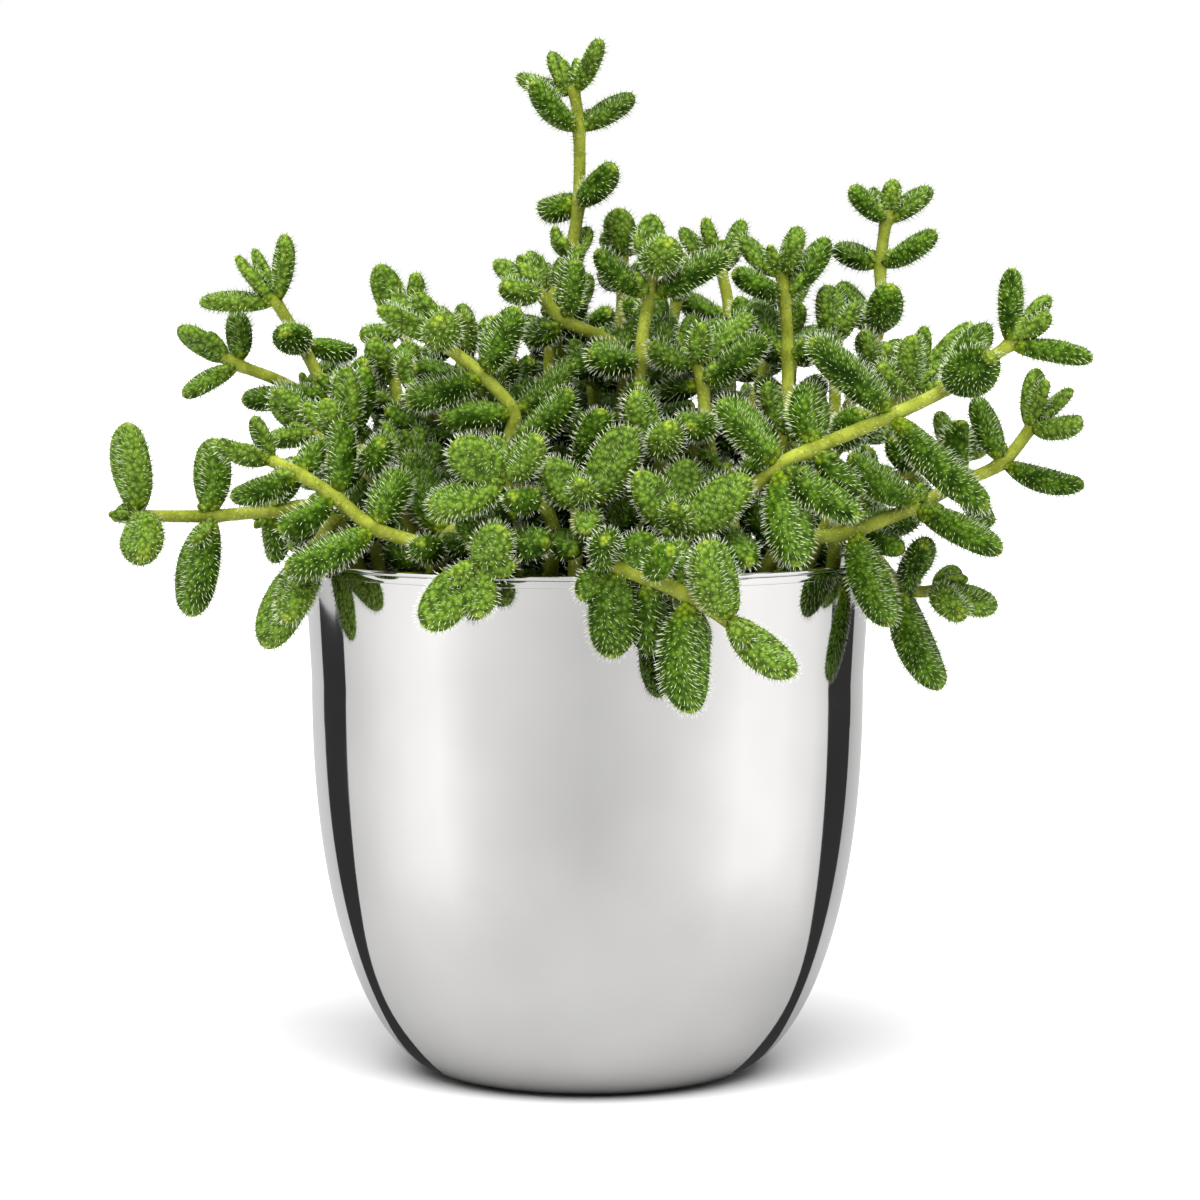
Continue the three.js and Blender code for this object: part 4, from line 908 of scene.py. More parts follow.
def makeBristleTree(material):
    # a bristle on every point scattered over the skin, leaning towards the leaf's tip
    form = bristleForm
    tree, given = newTree("bristles", {
        "Spacing": form["spacing"] * mm, "Length": form["length"] * mm,
        "Radius": form["radius"] * mm, "Sink": form["sink"] * mm, "Lean": form["lean"],
        "Length spread": form["lengthSpread"], "Scatter": form["scatter"]}, form["seed"])
    size = addNode(tree, "GeometryNodeInputNamedAttribute", {"Name": "bristleSize"}, data_type="FLOAT")
    cover = addNode(tree, "GeometryNodeInputNamedAttribute", {"Name": "bristleCover"}, data_type="FLOAT")
    aim = addNode(tree, "GeometryNodeInputNamedAttribute", {"Name": "bristleAim"}, data_type="FLOAT_VECTOR")
    points = addNode(tree, "GeometryNodeDistributePointsOnFaces", {
        "Mesh": given["Geometry"], "Distance Min": given["Spacing"], "Density Factor": cover.outputs[0],
        "Seed": given["Seed"], "Density Max": form["mostPerSquareMetre"]}, distribute_method="POISSON")
    leaning = addNode(tree, "ShaderNodeVectorMath", {"Vector": aim.outputs[0], "Scale": given["Lean"]},
                      operation="SCALE")
    aimed = addNode(tree, "ShaderNodeVectorMath", {0: points.outputs["Normal"], 1: leaning.outputs[0]},
                    operation="ADD")
    stray = addNode(tree, "FunctionNodeRandomValue", {0: (-1, -1, -1), 1: (1, 1, 1), "Seed": given["Seed"]},
                    data_type="FLOAT_VECTOR")
    strayed = addNode(tree, "ShaderNodeVectorMath", {"Vector": stray.outputs[0], "Scale": given["Scatter"]},
                      operation="SCALE")
    direction = addNode(tree, "ShaderNodeVectorMath", {0: aimed.outputs[0], 1: strayed.outputs[0]},
                        operation="ADD")
    turn = addNode(tree, "FunctionNodeAlignRotationToVector", {"Vector": direction.outputs[0]}, axis="Z")
    spike = addNode(tree, "GeometryNodeMeshCone", {
        "Vertices": 3, "Side Segments": 1, "Fill Segments": 1, "Radius Top": 0.0,
        "Radius Bottom": given["Radius"], "Depth": given["Length"]}, fill_type="NGON")
    place = addNode(tree, "GeometryNodeInputPosition")
    height = addNode(tree, "ShaderNodeSeparateXYZ", {"Vector": place.outputs[0]})
    rise = addNode(tree, "ShaderNodeMath", {0: height.outputs["Z"], 1: given["Length"]}, operation="DIVIDE")
    marked = addNode(tree, "GeometryNodeStoreNamedAttribute", {
        "Geometry": spike.outputs["Mesh"], "Name": "bristleRise", "Value": rise.outputs[0]},
        data_type="FLOAT", domain="POINT")
    down = addNode(tree, "ShaderNodeMath", {0: given["Sink"], 1: -1.0}, operation="MULTIPLY")
    drop = addNode(tree, "ShaderNodeCombineXYZ", {"Z": down.outputs[0]})
    sunk = addNode(tree, "GeometryNodeTransform", {
        "Geometry": marked.outputs["Geometry"], "Translation": drop.outputs[0]})
    luck = addNode(tree, "FunctionNodeRandomValue", {2: -1.0, 3: 1.0, "Seed": given["Seed"]},
                   data_type="FLOAT")
    longer = addNode(tree, "ShaderNodeMath", {0: luck.outputs[1], 1: given["Length spread"], 2: 1.0},
                     operation="MULTIPLY_ADD")
    stretched = addNode(tree, "ShaderNodeMath", {0: longer.outputs[0], 1: size.outputs[0]},
                        operation="MULTIPLY")
    scaled = addNode(tree, "ShaderNodeCombineXYZ", {
        "X": size.outputs[0], "Y": size.outputs[0], "Z": stretched.outputs[0]})
    planted = addNode(tree, "GeometryNodeInstanceOnPoints", {
        "Points": points.outputs["Points"], "Instance": sunk.outputs[0],
        "Rotation": turn.outputs[0], "Scale": scaled.outputs[0]})
    plantAndFinish(tree, given, planted, material)
    return tree


def socketName(tree, name):
    # a modifier's input goes by its socket's identifier
    return next(item.identifier for item in tree.interface.items_tree
                if item.item_type == "SOCKET" and item.in_out == "INPUT" and item.name == name)


def grown(piece, tree, values):
    # runs a node tree on a piece, keeps the result as a plain mesh and removes the modifier
    modifier = piece.modifiers.new("grow", "NODES")
    modifier.node_group = tree
    for name, value in values.items():
        modifier[socketName(tree, name)] = value
    depsgraph = bpy.context.evaluated_depsgraph_get()
    mesh = bpy.data.meshes.new_from_object(piece.evaluated_get(depsgraph), depsgraph=depsgraph)
    mesh.name = piece.name
    piece.modifiers.clear()
    old = piece.data
    piece.data = mesh
    bpy.data.meshes.remove(old)
    return piece


def newMaterial(name):
    material = bpy.data.materials.new(name)
    material.use_nodes = True
    material.node_tree.nodes.clear()
    return material, material.node_tree


def perMetre(millimetres):
    # texture scale that gives features of this size on object coordinates
    return 1 / (millimetres * mm)


def layered(tree, base, layers):
    # colours laid over each other: source, its range, how strongly the colour shows at both ends, colour
    for source, low, high, weak, strong, colour in layers:
        share = addNode(tree, "ShaderNodeMapRange", {
            "Value": source, "From Min": low, "From Max": high, "To Min": weak, "To Max": strong})
        over = addNode(tree, "ShaderNodeMix", {0: share.outputs[0], 6: base, 7: linear(colour)},
                       data_type="RGBA")
        base = over.outputs[2]
    return base


leafLook = {
    "deep": "#183003", "fresh": "#587d1b", "neck": "#869c20", "tip": "#a5b83c",
    # the paler colour of the side turned to the light is painted light
    "upper": "#6c8e33", "young": "#8cab3e", "cell": "#90a94a",
    # the colour between the cells and the darkest colour, for the bush's heart, are painted shade
    "gap": "#102202", "old": "#0e1f03", "patch": 3.5, "cellSize": 0.9, "grain": 0.35,  # millimetres
    "cellBump": 0.5, "grainBump": 0.12,
    "rough": (0.4, 0.56), "gloss": 0.07,
}


def makeLeafSkin():
    # live succulent skin: waxy, pebbled with juicy cells, with painted light making the grooved upper side
    # paler, painted shade between the cells and in the bush's heart, and thin enough at its tip and neck for
    # light to shine through
    look = leafLook
    material, tree = newMaterial("succulentLeafSkin")
    place = addNode(tree, "ShaderNodeTexCoord").outputs["Object"]
    value = {name: addNode(tree, "ShaderNodeAttribute", attribute_name=name).outputs["Fac"]
             for name in ("leafAlong", "leafUpper", "leafAge", "leafToneAndHeartShade")}
    patch = addNode(tree, "ShaderNodeTexNoise", {
        "Vector": place, "Scale": perMetre(look["patch"]), "Detail": 3.0})
    cells = addNode(tree, "ShaderNodeTexVoronoi", {
        "Vector": place, "Scale": perMetre(look["cellSize"])}, feature="F1")
    grain = addNode(tree, "ShaderNodeTexNoise", {
        "Vector": place, "Scale": perMetre(look["grain"]), "Detail": 2.0})
    green = layered(tree, linear(look["deep"]), (
        (patch.outputs["Fac"], 0.35, 0.65, 0.0, 0.9, look["fresh"]),
        # random tone, and painted shade: less of the fresh green towards the bush's heart
        (value["leafToneAndHeartShade"], 0.3, 1.0, 0.0, 0.5, look["fresh"]),
        (value["leafAge"], 0.1, 0.9, 0.8, 0.0, look["young"]),
        # painted light: the upper side, turned towards the lamp, painted paler
        (value["leafUpper"], 0.35, 0.95, 0.0, 0.6, look["upper"]),
        # painted shade: darker in the bush's heart
        (value["leafToneAndHeartShade"], 0.0, 0.45, 0.85, 0.0, look["old"]),
        (value["leafAlong"], 0.02, 0.2, 0.9, 0.0, look["neck"]),
        (value["leafAlong"], 0.95, 0.995, 0.0, 0.7, look["tip"]),
        # painted shade in the creases between the cells
        (cells.outputs["Distance"], 0.3, 0.75, 0.0, 0.7, look["gap"]),
        (cells.outputs["Distance"], 0.1, 0.4, 0.22, 0.0, look["cell"]),
    ))
    rough = addNode(tree, "ShaderNodeMapRange", {
        "Value": grain.outputs["Fac"], "From Min": 0.3, "From Max": 0.7,
        "To Min": look["rough"][0], "To Max": look["rough"][1]})
    pebbles = addNode(tree, "ShaderNodeBump", {
        "Height": cells.outputs["Distance"], "Strength": 0.8, "Distance": look["cellBump"] * mm},
        invert=True)
    fine = addNode(tree, "ShaderNodeBump", {
        "Height": grain.outputs["Fac"], "Normal": pebbles.outputs[0], "Strength": 0.3,
        "Distance": look["grainBump"] * mm})
    shader = addNode(tree, "ShaderNodeBsdfPrincipled", {
        "Base Color": green, "Roughness": rough.outputs[0], "Normal": fine.outputs[0], "IOR": 1.4,
        "Specular IOR Level": look["gloss"], "Subsurface Weight": 0.15,
        "Subsurface Radius": (0.6, 1.0, 0.2), "Subsurface Scale": mm})
    addNode(tree, "ShaderNodeOutputMaterial", {"Surface": shader.outputs[0]})
    return material


stemLook = {
    # the lit colour is painted light, and the colour for the foot is painted shade
    "shade": "#6d761d", "lit": "#9ba43c", "joint": "#5f6a18", "old": "#68741f", "streak": "#bcc964",
    "patch": 4.0, "speck": 0.5, "speckBump": 0.12,  # millimetres
}


def makeStemSkin():
    # soft green stem: yellower than the leaves, faintly speckled, with painted light in its lit patches over
    # the shaded colour, darker at the joints, and painted shade towards the foot
    look = stemLook
    material, tree = newMaterial("succulentStemSkin")
    place = addNode(tree, "ShaderNodeTexCoord").outputs["Object"]
    along = addNode(tree, "ShaderNodeAttribute", attribute_name="stemAlong").outputs["Fac"]
    joint = addNode(tree, "ShaderNodeAttribute", attribute_name="stemJoint").outputs["Fac"]
    patch = addNode(tree, "ShaderNodeTexNoise", {
        "Vector": place, "Scale": perMetre(look["patch"]), "Detail": 3.0})
    speck = addNode(tree, "ShaderNodeTexNoise", {
        "Vector": place, "Scale": perMetre(look["speck"]), "Detail": 2.0})
    colour = layered(tree, linear(look["shade"]), (
        # painted light: lit patches over the shaded colour
        (patch.outputs["Fac"], 0.35, 0.65, 0.1, 1.0, look["lit"]),
        (speck.outputs["Fac"], 0.58, 0.72, 0.0, 0.4, look["streak"]),
        # painted shade: darker towards the foot, deep in the bush
        (along, 0.0, 0.5, 0.7, 0.0, look["old"]),
        (joint, 0.5, 1.0, 0.0, 0.6, look["joint"]),
    ))
    bumps = addNode(tree, "ShaderNodeBump", {
        "Height": speck.outputs["Fac"], "Strength": 0.35, "Distance": look["speckBump"] * mm})
    shader = addNode(tree, "ShaderNodeBsdfPrincipled", {
        "Base Color": colour, "Normal": bumps.outputs[0], "Roughness": 0.45, "IOR": 1.4,
        "Specular IOR Level": 0.25, "Subsurface Weight": 0.2, "Subsurface Radius": (0.8, 1.0, 0.2),
        "Subsurface Scale": mm})
    addNode(tree, "ShaderNodeOutputMaterial", {"Surface": shader.outputs[0]})
    return material


hairLook = {
    "colours": {0.12: "#5f7a22", 0.36: "#aabf78", 0.66: "#fafbf0"},  # by share of a bristle's length
    # the dull colour of hairs in the bush's heart is painted shade
    "old": "#3c5218",
}


def makeBristleMaterial():
    # a glassy foot that takes the leaf's green, and a tip full of air, so white; painted shade dulls it in
    # the bush's heart
    material, tree = newMaterial("translucentHair")
    rise = addNode(tree, "ShaderNodeAttribute", attribute_name="bristleRise").outputs["Fac"]
    colour = addNode(tree, "ShaderNodeValToRGB", {"Fac": rise}, {
        place: linear(shade) for place, shade in hairLook["colours"].items()})
    toneAndHeartShade = addNode(tree, "ShaderNodeAttribute", attribute_name="leafToneAndHeartShade").outputs["Fac"]
    # painted shade: hairs duller in the bush's heart
    shadedInHeart = layered(tree, colour.outputs[0], ((toneAndHeartShade, 0.0, 0.35, 0.85, 0.0, hairLook["old"]),))
    shader = addNode(tree, "ShaderNodeBsdfPrincipled", {
        "Base Color": shadedInHeart, "Roughness": 0.4, "IOR": 1.45})
    addNode(tree, "ShaderNodeOutputMaterial", {"Surface": shader.outputs[0]})
    return material


steelLook = {
    "colour": "#cbcac9", "marked": "#d3d2d1", "rough": (0.03, 0.06),
    "mark": 22.0, "polishLength": 30.0, "polishWidth": 0.5, "polishDepth": 0.02,  # millimetres
}


def makeSteel():
    # polished stainless steel: a mirror whose faint handling marks make its gloss a little uneven
    look = steelLook
    length, width = perMetre(look["polishLength"]), perMetre(look["polishWidth"])
    material, tree = newMaterial("polishedStainlessSteel")
    place = addNode(tree, "ShaderNodeTexCoord").outputs["Object"]
    turned = addNode(tree, "ShaderNodeMapping", {"Vector": place, "Scale": (length, length, width)})
    lines = addNode(tree, "ShaderNodeTexNoise", {"Vector": turned.outputs[0], "Scale": 1.0, "Detail": 3.0})
    marks = addNode(tree, "ShaderNodeTexNoise", {
        "Vector": place, "Scale": perMetre(look["mark"]), "Detail": 2.0})
    colour = layered(tree, linear(look["colour"]), (
        (marks.outputs["Fac"], 0.3, 0.7, 0.0, 1.0, look["marked"]),
    ))
    rough = addNode(tree, "ShaderNodeMapRange", {
        "Value": marks.outputs["Fac"], "From Min": 0.3, "From Max": 0.7,
        "To Min": look["rough"][0], "To Max": look["rough"][1]})
    grain = addNode(tree, "ShaderNodeBump", {
        "Height": lines.outputs["Fac"], "Strength": 0.02, "Distance": look["polishDepth"] * mm})
    shader = addNode(tree, "ShaderNodeBsdfPrincipled", {
        "Base Color": colour, "Roughness": rough.outputs[0], "Normal": grain.outputs[0], "Metallic": 1.0})
    addNode(tree, "ShaderNodeOutputMaterial", {"Surface": shader.outputs[0]})
    return material


peatLook = {
    "peat": "#0d0805", "crumb": "#1d130c", "bark": "#35241a", "fibre": "#5a422c",
    "lump": 5.0, "fibreSize": 1.2, "fibreBump": 0.6,  # millimetres
}


def makeSoilMaterial():
    # damp peat and bark potting mix: nearly black, crumbly, with paler fibres
    look = peatLook
    material, tree = newMaterial("dampPeatMix")
    place = addNode(tree, "ShaderNodeTexCoord").outputs["Object"]
    lumps = addNode(tree, "ShaderNodeTexNoise", {
        "Vector": place, "Scale": perMetre(look["lump"]), "Detail": 6.0, "Roughness": 0.65})
    fibres = addNode(tree, "ShaderNodeTexNoise", {
        "Vector": place, "Scale": perMetre(look["fibreSize"]), "Detail": 4.0, "Distortion": 1.5})
    colour = layered(tree, linear(look["peat"]), (
        (lumps.outputs["Fac"], 0.35, 0.6, 0.0, 1.0, look["crumb"]),
        (lumps.outputs["Fac"], 0.6, 0.75, 0.0, 1.0, look["bark"]),
        (fibres.outputs["Fac"], 0.62, 0.72, 0.0, 0.6, look["fibre"]),
    ))
    bumps = addNode(tree, "ShaderNodeBump", {
        "Height": fibres.outputs["Fac"], "Strength": 0.7, "Distance": look["fibreBump"] * mm})
    shader = addNode(tree, "ShaderNodeBsdfPrincipled", {
        "Base Color": colour, "Normal": bumps.outputs[0], "Roughness": 0.85})
    addNode(tree, "ShaderNodeOutputMaterial", {"Surface": shader.outputs[0]})
    return material


leafSkin, stemSkin, hair = makeLeafSkin(), makeStemSkin(), makeBristleMaterial()
steel, peat = makeSteel(), makeSoilMaterial()
print("made the materials")


def buildShoots():
    tree = makeBristleTree(hair)
    draw = randomFrom(bristleForm["seed"])
    triangles = 0
    for stem in stems:
        parts = newParts()
        addStem(parts, stem)
        for leaf in stem["leaves"]:
            addLeaf(parts, stem, leaf, draw)
        name = stem["name"].replace("shoot", "leafy_stem")
        piece = newPiece(name, meshFrom(name, parts, [leafSkin, stemSkin]))
        grown(piece, tree, {"Seed": stem["owner"]})
        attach(piece, "root")
        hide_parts(stem["name"])
        piece.data.calc_loop_triangles()
        triangles += len(piece.data.loop_triangles)
    bpy.data.node_groups.remove(tree)
    print("built", len(stems), "leafy stems of", triangles, "triangles")


def potProfile():
    # from the axis out over the foot, up the wall, over the rolled lip and back down the inside
    rim, height, wall, step = pot["rimRadius"], pot["height"], pot["wall"], pot["rimStep"]
    groove = height - pot["lipHeight"]
    band = groove - pot["bandHeight"]
    turns = np.arange(1, pot["cornerSteps"]) * (math.pi / 2 / pot["cornerSteps"])
    heights = [pot["cornerHeight"] * (1 - math.cos(turn)) for turn in turns]
    outside = [(potRadius(h), h) for h in heights]
    edge = [  # the rolled lip and its groove, point by point
        (rim - step, band), (rim - step + 0.13, band + 0.08), (rim - 0.14, band + 0.4),
        (rim - 0.12, (band + groove) / 2), (rim - 0.15, groove - 0.3), (rim - 0.2, groove - 0.08),
        (rim - 0.2 - pot["grooveDepth"], groove), (rim - 0.13, groove + 0.08), (rim - 0.02, groove + 0.24),
        (rim, groove + 0.42), (rim - 0.06, height - 0.22), (rim - 0.22, height - 0.06), (rim - 0.42, height),
        (rim - wall + 0.42, height), (rim - wall + 0.15, height - 0.07), (rim - wall, height - 0.3),
    ]
    inside = [(potRadius(h) - wall, h + pot["insideLift"])
              for h in reversed(heights) if h > pot["insideStart"]]
    foot = [(0, 0), (pot["footRadius"] - pot["footBevel"], 0), (pot["footRadius"], pot["footRise"])]
    return (foot + outside + [(pot["cornerRadius"], pot["cornerHeight"])] + edge
            + [(pot["cornerRadius"] - wall, pot["cornerHeight"])] + inside
            + [(pot["footRadius"] - wall, pot["floor"]), (0, pot["floor"])])


def turnedMesh(name, profile, segments, material, sharpAngle=30):
    # spins a closed profile, whose first and last points are on the axis, round Z
    angle = 2 * math.pi * np.arange(segments) / segments
    rings = np.array([[(r * math.cos(a), r * math.sin(a), z) for a in angle] for r, z in profile[1:-1]])
    points = np.concatenate([[[0, 0, profile[0][1]]], rings.reshape(-1, 3), [[0, 0, profile[-1][1]]]])
    mesh = bpy.data.meshes.new(name)
    mesh.from_pydata(points * mm, [], tubeFaces(0, len(rings), segments))
    mesh.materials.append(material)
    mesh.shade_smooth()
    mesh.set_sharp_from_angle(angle=math.radians(sharpAngle))
    return mesh


def buildPot():
    piece = newPiece("steel_pot", turnedMesh("steel_pot", potProfile(), pot["segments"], steel))
    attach(piece, "root")
    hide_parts("pot")
    print("built the pot")


# Soil, in millimetres
soil = {
    "gap": 0.35, "edgeHeight": 77.0, "bump": 0.7, "mound": 0.9, "rings": 44, "segments": 120,
    "sideHeights": (12.0, 30.0, 50.0), "footIn": 3.0, "sideIn": 0.3, "shoulder": 1.0, "topMargin": 0.1,
    "slopeFrom": 46.5, "slopeWidth": 8.0, "swellShare": 0.6,
    "swellAcross": (0.31, 1.3), "swellDeep": (0.27, 0.4),  # radians a millimetre, and where they start
    "ripple": 0.35, "rippleWaves": (1.3, 0.9, 1.1, 1.7), "rippleTwist": 2,
    "crumbSpacing": 2.3, "crumbSize": 1.1, "crumbTurn": 6.28, "mostPerSquareMetre": 4e5, "seed": 5,
    "smallestCrumb": (0.3, 0.2, 0.3), "largestCrumb": (1.3, 0.8, 0.9), "facingUp": 0.5,
}


def soilHeight(x, y):
    # a low mound with a broad swell and small ripples, sloping down near the wall
    across, acrossStart = soil["swellAcross"]
    deep, deepStart = soil["swellDeep"]
    swell = soil["bump"] * math.sin(x * across + acrossStart) * math.cos(y * deep + deepStart)
    a, b, c, d = soil["rippleWaves"]
    twisted = x * a + soil["rippleTwist"] * math.sin(y * b)
    ripple = soil["ripple"] * math.sin(twisted) * math.cos(y * c + math.sin(x * d))
    slope = min(1, (soil["slopeFrom"] - math.hypot(x, y)) / soil["slopeWidth"])
    mound = bush["soilTop"] - soil["mound"] + max(slope, 0) * soil["mound"]
    return mound + swell * soil["swellShare"] + ripple


def makeCrumbTree(material):
    # crumbs of bark and peat scattered over the upper faces
    tree, given = newTree("crumbs", {
        "Spacing": soil["crumbSpacing"] * mm, "Size": soil["crumbSize"] * mm}, soil["seed"])
    normal = addNode(tree, "GeometryNodeInputNormal")
    facing = addNode(tree, "ShaderNodeSeparateXYZ", {"Vector": normal.outputs[0]})
    upward = addNode(tree, "FunctionNodeCompare", {0: facing.outputs["Z"], 1: soil["facingUp"]},
                     operation="GREATER_THAN", data_type="FLOAT")
    points = addNode(tree, "GeometryNodeDistributePointsOnFaces", {
        "Mesh": given["Geometry"], "Selection": upward.outputs[0], "Distance Min": given["Spacing"],
        "Seed": given["Seed"], "Density Max": soil["mostPerSquareMetre"]}, distribute_method="POISSON")
    lump = addNode(tree, "GeometryNodeMeshIcoSphere", {"Radius": given["Size"], "Subdivisions": 1})
    spin = addNode(tree, "FunctionNodeRandomValue", {
        0: (0, 0, 0), 1: (soil["crumbTurn"],) * 3, "Seed": given["Seed"]}, data_type="FLOAT_VECTOR")
    shape = addNode(tree, "FunctionNodeRandomValue", {
        0: soil["smallestCrumb"], 1: soil["largestCrumb"], "Seed": given["Seed"]}, data_type="FLOAT_VECTOR")
    planted = addNode(tree, "GeometryNodeInstanceOnPoints", {
        "Points": points.outputs["Points"], "Instance": lump.outputs["Mesh"],
        "Rotation": spin.outputs[0], "Scale": shape.outputs[0]})
    plantAndFinish(tree, given, planted, material)
    return tree


def buildSoil():
    wallGap = pot["wall"] + soil["gap"]
    bottom = pot["floor"] + soil["gap"]
    heights = (*soil["sideHeights"], pot["cornerHeight"], soil["edgeHeight"] - soil["shoulder"])
    profile = [(0, bottom), (pot["footRadius"] - soil["footIn"], bottom)]
    profile += [(potRadius(h) - wallGap - soil["sideIn"], h) for h in heights]
    topRadius = potRadius(soil["edgeHeight"]) - wallGap
    top = [(topRadius * (1 - i / soil["rings"]), bush["soilTop"]) for i in range(soil["rings"])]
    mesh = turnedMesh("potting_mix", profile + top + [(0, bush["soilTop"])], soil["segments"], peat)
    for vertex in mesh.vertices:
        if vertex.co.z > (bush["soilTop"] - soil["topMargin"]) * mm:
            vertex.co.z = soilHeight(vertex.co.x / mm, vertex.co.y / mm) * mm
    mesh.update()
    piece = newPiece("potting_mix", mesh)
    tree = makeCrumbTree(peat)
    grown(piece, tree, {"Seed": soil["seed"]})
    bpy.data.node_groups.remove(tree)
    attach(piece, "root")
    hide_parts("soil")
    print("built the soil")


# The viewer: place in metres, tilt in degrees, lens and picture width in millimetres
camera = {"place": (0.0022, -0.7, 0.1345), "downward": 4.17, "lens": 119.34, "sensor": 36.0}
light = {
    "surround": 0.12,  # even light from the white room
    "sunStrength": 6.19, "sunWidth": 66.0, "sunFrom": (-0.02, -0.58, 1.0),  # a big soft box above
    "paper": "#f2f2f2", "pulp": 3.0,  # millimetres
    "floorHalf": 30.0, "floorDrop": 0.00005,  # metres
}
# What the steel mirrors, by direction: degrees from the viewer (left is negative) -> brightness
mirrorLevels = {
    -180: 0.7, -150: 0.78, -137: 0.72, -107: 1.0, -94: 1.2, -80: 1.36, -64: 1.47, -46: 1.18, -28: 1.04,
    -11: 0.92, 1: 0.87, 13: 0.91, 30: 1.03, 48: 1.2, 67: 1.48, 88: 1.44, 107: 1.24,
    137: 0.55, 150: 0.68, 180: 0.7,
}
# and the same for the floor, which it mirrors below the horizon
floorLevels = {
    -180: 0.5, -142: 0.52, -118: 0.93, -60: 1.08, 0: 0.98, 60: 1.08, 118: 0.93, 142: 0.52, 180: 0.5,
}
floorFade = (0.25, 0.9)  # how far down a direction points where the floor's levels start and are full


def greyStops(levels, peak):
    # stops of a colour ramp that runs from -180 to 180 degrees
    return {(angle + 180) / 360: (level / peak,) * 3 + (1,) for angle, level in levels.items()}


def makeWorld():
    # white to the camera, soft and even for the leaves, and the mirrored levels for gloss
    world = bpy.data.worlds.new("whiteRoom")
    scene.world = world
    world.use_nodes = True
    tree = world.node_tree
    tree.nodes.clear()
    direction = addNode(tree, "ShaderNodeTexCoord").outputs["Generated"]
    parts = addNode(tree, "ShaderNodeSeparateXYZ", {"Vector": direction})
    toViewer = addNode(tree, "ShaderNodeMath", {0: parts.outputs["Y"], 1: -1.0}, operation="MULTIPLY")
    bearing = addNode(tree, "ShaderNodeMath", {0: parts.outputs["X"], 1: toViewer.outputs[0]},
                      operation="ARCTAN2")
    share = addNode(tree, "ShaderNodeMapRange", {
        "Value": bearing.outputs[0], "From Min": -math.pi, "From Max": math.pi})
    peak = max(mirrorLevels.values())
    around = addNode(tree, "ShaderNodeValToRGB", {"Fac": share.outputs[0]}, greyStops(mirrorLevels, peak))
    down = addNode(tree, "ShaderNodeMath", {0: parts.outputs["Z"], 1: -1.0}, operation="MULTIPLY")
    below = addNode(tree, "ShaderNodeValToRGB", {"Fac": share.outputs[0]}, greyStops(floorLevels, peak))
    lowness = addNode(tree, "ShaderNodeMapRange", {
        "Value": down.outputs[0], "From Min": floorFade[0], "From Max": floorFade[1]},
        interpolation_type="SMOOTHSTEP")
    room = addNode(tree, "ShaderNodeMix", {
        0: lowness.outputs[0], 6: around.outputs[0], 7: below.outputs[0]}, data_type="RGBA")
    mirrored = addNode(tree, "ShaderNodeBackground", {"Color": room.outputs[2], "Strength": peak})
    even = addNode(tree, "ShaderNodeBackground", {"Color": linear("#ffffff"), "Strength": light["surround"]})
    plain = addNode(tree, "ShaderNodeBackground", {"Color": linear("#ffffff"), "Strength": 1.0})
    rays = addNode(tree, "ShaderNodeLightPath").outputs
    unseen = addNode(tree, "ShaderNodeMixShader", {
        0: rays["Is Glossy Ray"], 1: even.outputs[0], 2: mirrored.outputs[0]})
    final = addNode(tree, "ShaderNodeMixShader", {
        0: rays["Is Camera Ray"], 1: unseen.outputs[0], 2: plain.outputs[0]})
    addNode(tree, "ShaderNodeOutputWorld", {"Surface": final.outputs[0]})


def addSun():
    lamp = bpy.data.lights.new("softBox", "SUN")
    lamp.energy = light["sunStrength"]
    lamp.angle = math.radians(light["sunWidth"])
    thing = bpy.data.objects.new("softBox", lamp)
    scene.collection.objects.link(thing)
    x, y, z = light["sunFrom"]
    thing.location = (x, y, z)
    thing.rotation_euler = (math.atan2(math.hypot(x, y), z), 0, math.atan2(y, x) + math.pi / 2)
    thing.visible_glossy = False


def steelPoint(sideShare, height):
    # the point of the pot that shows at this share of its half width, and how the view bounces off it
    nudge = 0.2
    radius = potRadius(height)
    slope = (potRadius(height + nudge) - potRadius(height - nudge)) / (2 * nudge)
    nearness = radius / abs(eye[1])
    angle = math.asin(sideShare)
    for _ in range(5):  # closes in on the angle
        angle = math.asin(sideShare * (1 - nearness * math.cos(angle)) / math.sqrt(1 - nearness ** 2))
    point = np.array([math.sin(angle) * radius, -math.cos(angle) * radius, height])
    normal = unit(np.array([math.sin(angle), -math.cos(angle), -slope]))
    view = unit(point - np.array(camera["place"]) / mm)
    return point, view - 2 * np.dot(view, normal) * normal


# Dark cards beside the set, seen only in the steel. Edges: a height on the pot, then the inner and outer
# edge of the dark strip there, as shares of the pot's half width. Lengths in millimetres
darkCard = {
    # the cards glow this grey, painted light
    "reach": 1500.0, "aboveFloor": 0.3, "steps": 90, "smoothing": 9, "grey": "#3b3b3c",
    "edges": [
        (2.3, 0.84, 0.95), (5, 0.838, 0.951), (8.6, 0.864, 0.94), (12.2, 0.886, 0.937),
        (17.6, 0.895, 0.94), (24, 0.895, 0.942), (32, 0.885, 0.946), (44.4, 0.877, 0.951),
        (58.6, 0.875, 0.954), (89, 0.875, 0.955),
    ],
}


def hideFromAllButGloss(thing):
    for kind in ("camera", "diffuse", "shadow", "transmission", "volume_scatter"):
        setattr(thing, "visible_" + kind, False)


def smoothed(values, width):
    # a moving average that keeps both ends
    padded = np.pad(values, width // 2, mode="edge")
    return np.convolve(padded, np.full(width, 1 / width), mode="valid")


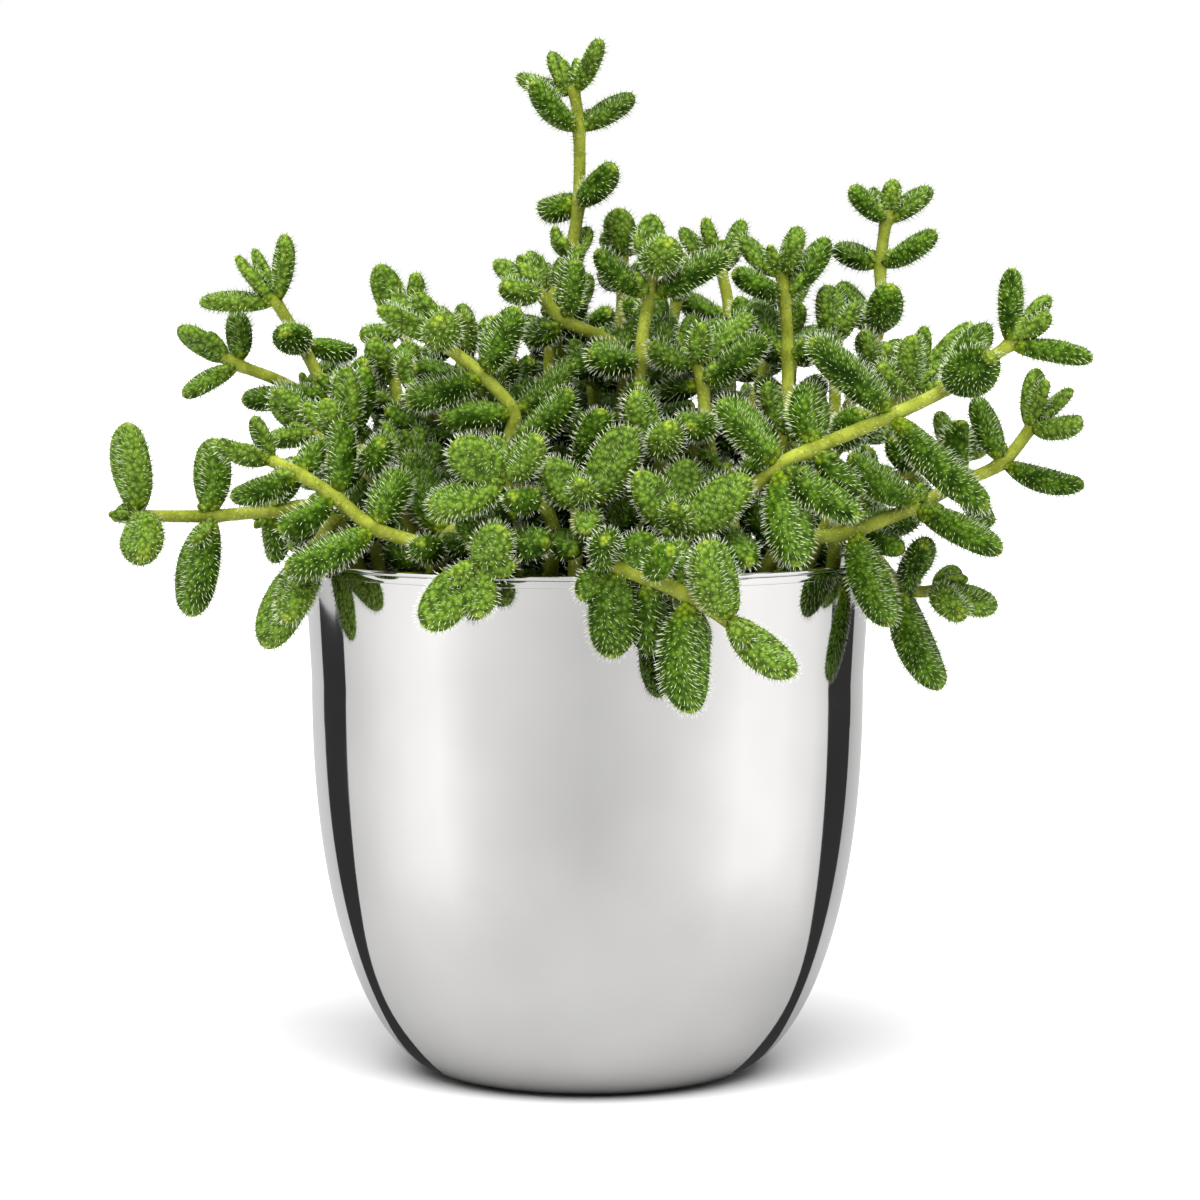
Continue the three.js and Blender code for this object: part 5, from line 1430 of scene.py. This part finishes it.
def buildDarkCard(name, sign, material):
    given, inner, outer = (np.array(column, float) for column in zip(*darkCard["edges"]))
    heights = np.linspace(given[0], given[-1], darkCard["steps"])
    strip = [smoothed(np.interp(heights, given, side), darkCard["smoothing"]) for side in (inner, outer)]
    points, faces = [], []
    for step, height in enumerate(heights):
        for side in strip:
            start, bounce = steelPoint(sign * side[step], height)
            toFloor = (height - darkCard["aboveFloor"]) / max(-bounce[2], 1e-6)
            points.append(start + bounce * min(darkCard["reach"], toFloor))
        if step:
            faces.append((2 * step - 2, 2 * step - 1, 2 * step + 1, 2 * step))
    mesh = bpy.data.meshes.new(name)
    mesh.from_pydata(np.array(points) * mm, [], faces)
    mesh.materials.append(material)
    card = newPiece(name, mesh)
    hideFromAllButGloss(card)


def makePaper(name, colour, gloss, fade=None):
    # matt paper, with only a trace of unevenness; fade: the distances over which it thins out to nothing
    material, tree = newMaterial(name)
    place = addNode(tree, "ShaderNodeTexCoord").outputs["Object"]
    pulp = addNode(tree, "ShaderNodeTexNoise", {"Vector": place, "Scale": perMetre(light["pulp"])})
    rough = addNode(tree, "ShaderNodeMapRange", {
        "Value": pulp.outputs["Fac"], "To Min": 0.85, "To Max": 0.95})
    surface = addNode(tree, "ShaderNodeBsdfPrincipled", {
        "Base Color": linear(colour), "Roughness": rough.outputs[0], "Specular IOR Level": gloss})
    if fade:
        distance = addNode(tree, "ShaderNodeVectorMath", {0: place}, operation="LENGTH")
        gone = addNode(tree, "ShaderNodeMapRange", {
            "Value": distance.outputs["Value"], "From Min": fade[0], "From Max": fade[1]},
            interpolation_type="SMOOTHSTEP")
        clear = addNode(tree, "ShaderNodeBsdfTransparent")
        surface = addNode(tree, "ShaderNodeMixShader", {
            0: gone.outputs[0], 1: surface.outputs[0], 2: clear.outputs[0]})
    addNode(tree, "ShaderNodeOutputMaterial", {"Surface": surface.outputs[0]})
    return material


# The floor near the pot as the steel mirrors it: greyer paper seen only in the steel, a painted reflection
# of the floor, fading out into the room's own levels; sizes in metres
nearFloor = {"colour": "#c0c0c0", "radius": 0.16, "fadeFrom": 0.05, "dropShare": 0.4, "corners": 24}


def buildMirroredFloor():
    # lies a little above the floor, so that the floor doesn't shade it
    radius, corners = nearFloor["radius"], nearFloor["corners"]
    down = -nearFloor["dropShare"] * light["floorDrop"]
    turns = [2 * math.pi * step / corners for step in range(corners)]
    mesh = bpy.data.meshes.new("floor_mirrored")
    mesh.from_pydata([(math.cos(turn) * radius, math.sin(turn) * radius, down) for turn in turns], [],
                     [tuple(range(corners))])
    mesh.materials.append(makePaper("paintedFloorReflection", nearFloor["colour"], 0.0, (nearFloor["fadeFrom"], radius)))
    disc = newPiece("floor_mirrored", mesh)
    hideFromAllButGloss(disc)


def makeCardMaterial():
    # matt black card that glows an even dark grey, painted light, so it looks the same wherever the light
    # comes from
    material, tree = newMaterial("glowingGreyCard")
    shader = addNode(tree, "ShaderNodeBsdfPrincipled", {
        "Base Color": linear("#000000"), "Roughness": 0.9, "Specular IOR Level": 0.0,
        "Emission Color": linear(darkCard["grey"]), "Emission Strength": 1.0})
    addNode(tree, "ShaderNodeOutputMaterial", {"Surface": shader.outputs[0]})
    return material


def buildStage():
    mesh = bpy.data.meshes.new("floor")
    half, down = light["floorHalf"], -light["floorDrop"]
    corners = [(-half, -half, down), (half, -half, down), (half, half, down), (-half, half, down)]
    mesh.from_pydata(corners, [], [(0, 1, 2, 3)])
    mesh.materials.append(makePaper("whitePaper", light["paper"], 0.1))
    floor = newPiece("floor", mesh)
    floor.visible_glossy = False
    buildMirroredFloor()
    card = makeCardMaterial()
    buildDarkCard("card_left", -1, card)
    buildDarkCard("card_right", 1, card)
    makeWorld()
    addSun()
    lens = bpy.data.cameras.new("photoCamera")
    lens.lens, lens.sensor_width = camera["lens"], camera["sensor"]
    lens.clip_start = 0.01
    lens.clip_end = 2 * light["floorHalf"]
    thing = bpy.data.objects.new("photoCamera", lens)
    scene.collection.objects.link(thing)
    thing.location = camera["place"]
    thing.rotation_euler = (math.radians(90 - camera["downward"]), 0, 0)
    scene.camera = thing
    scene.view_settings.view_transform = "Standard"
    print("set the stage")


buildStage()
buildPot()
buildSoil()
buildShoots()
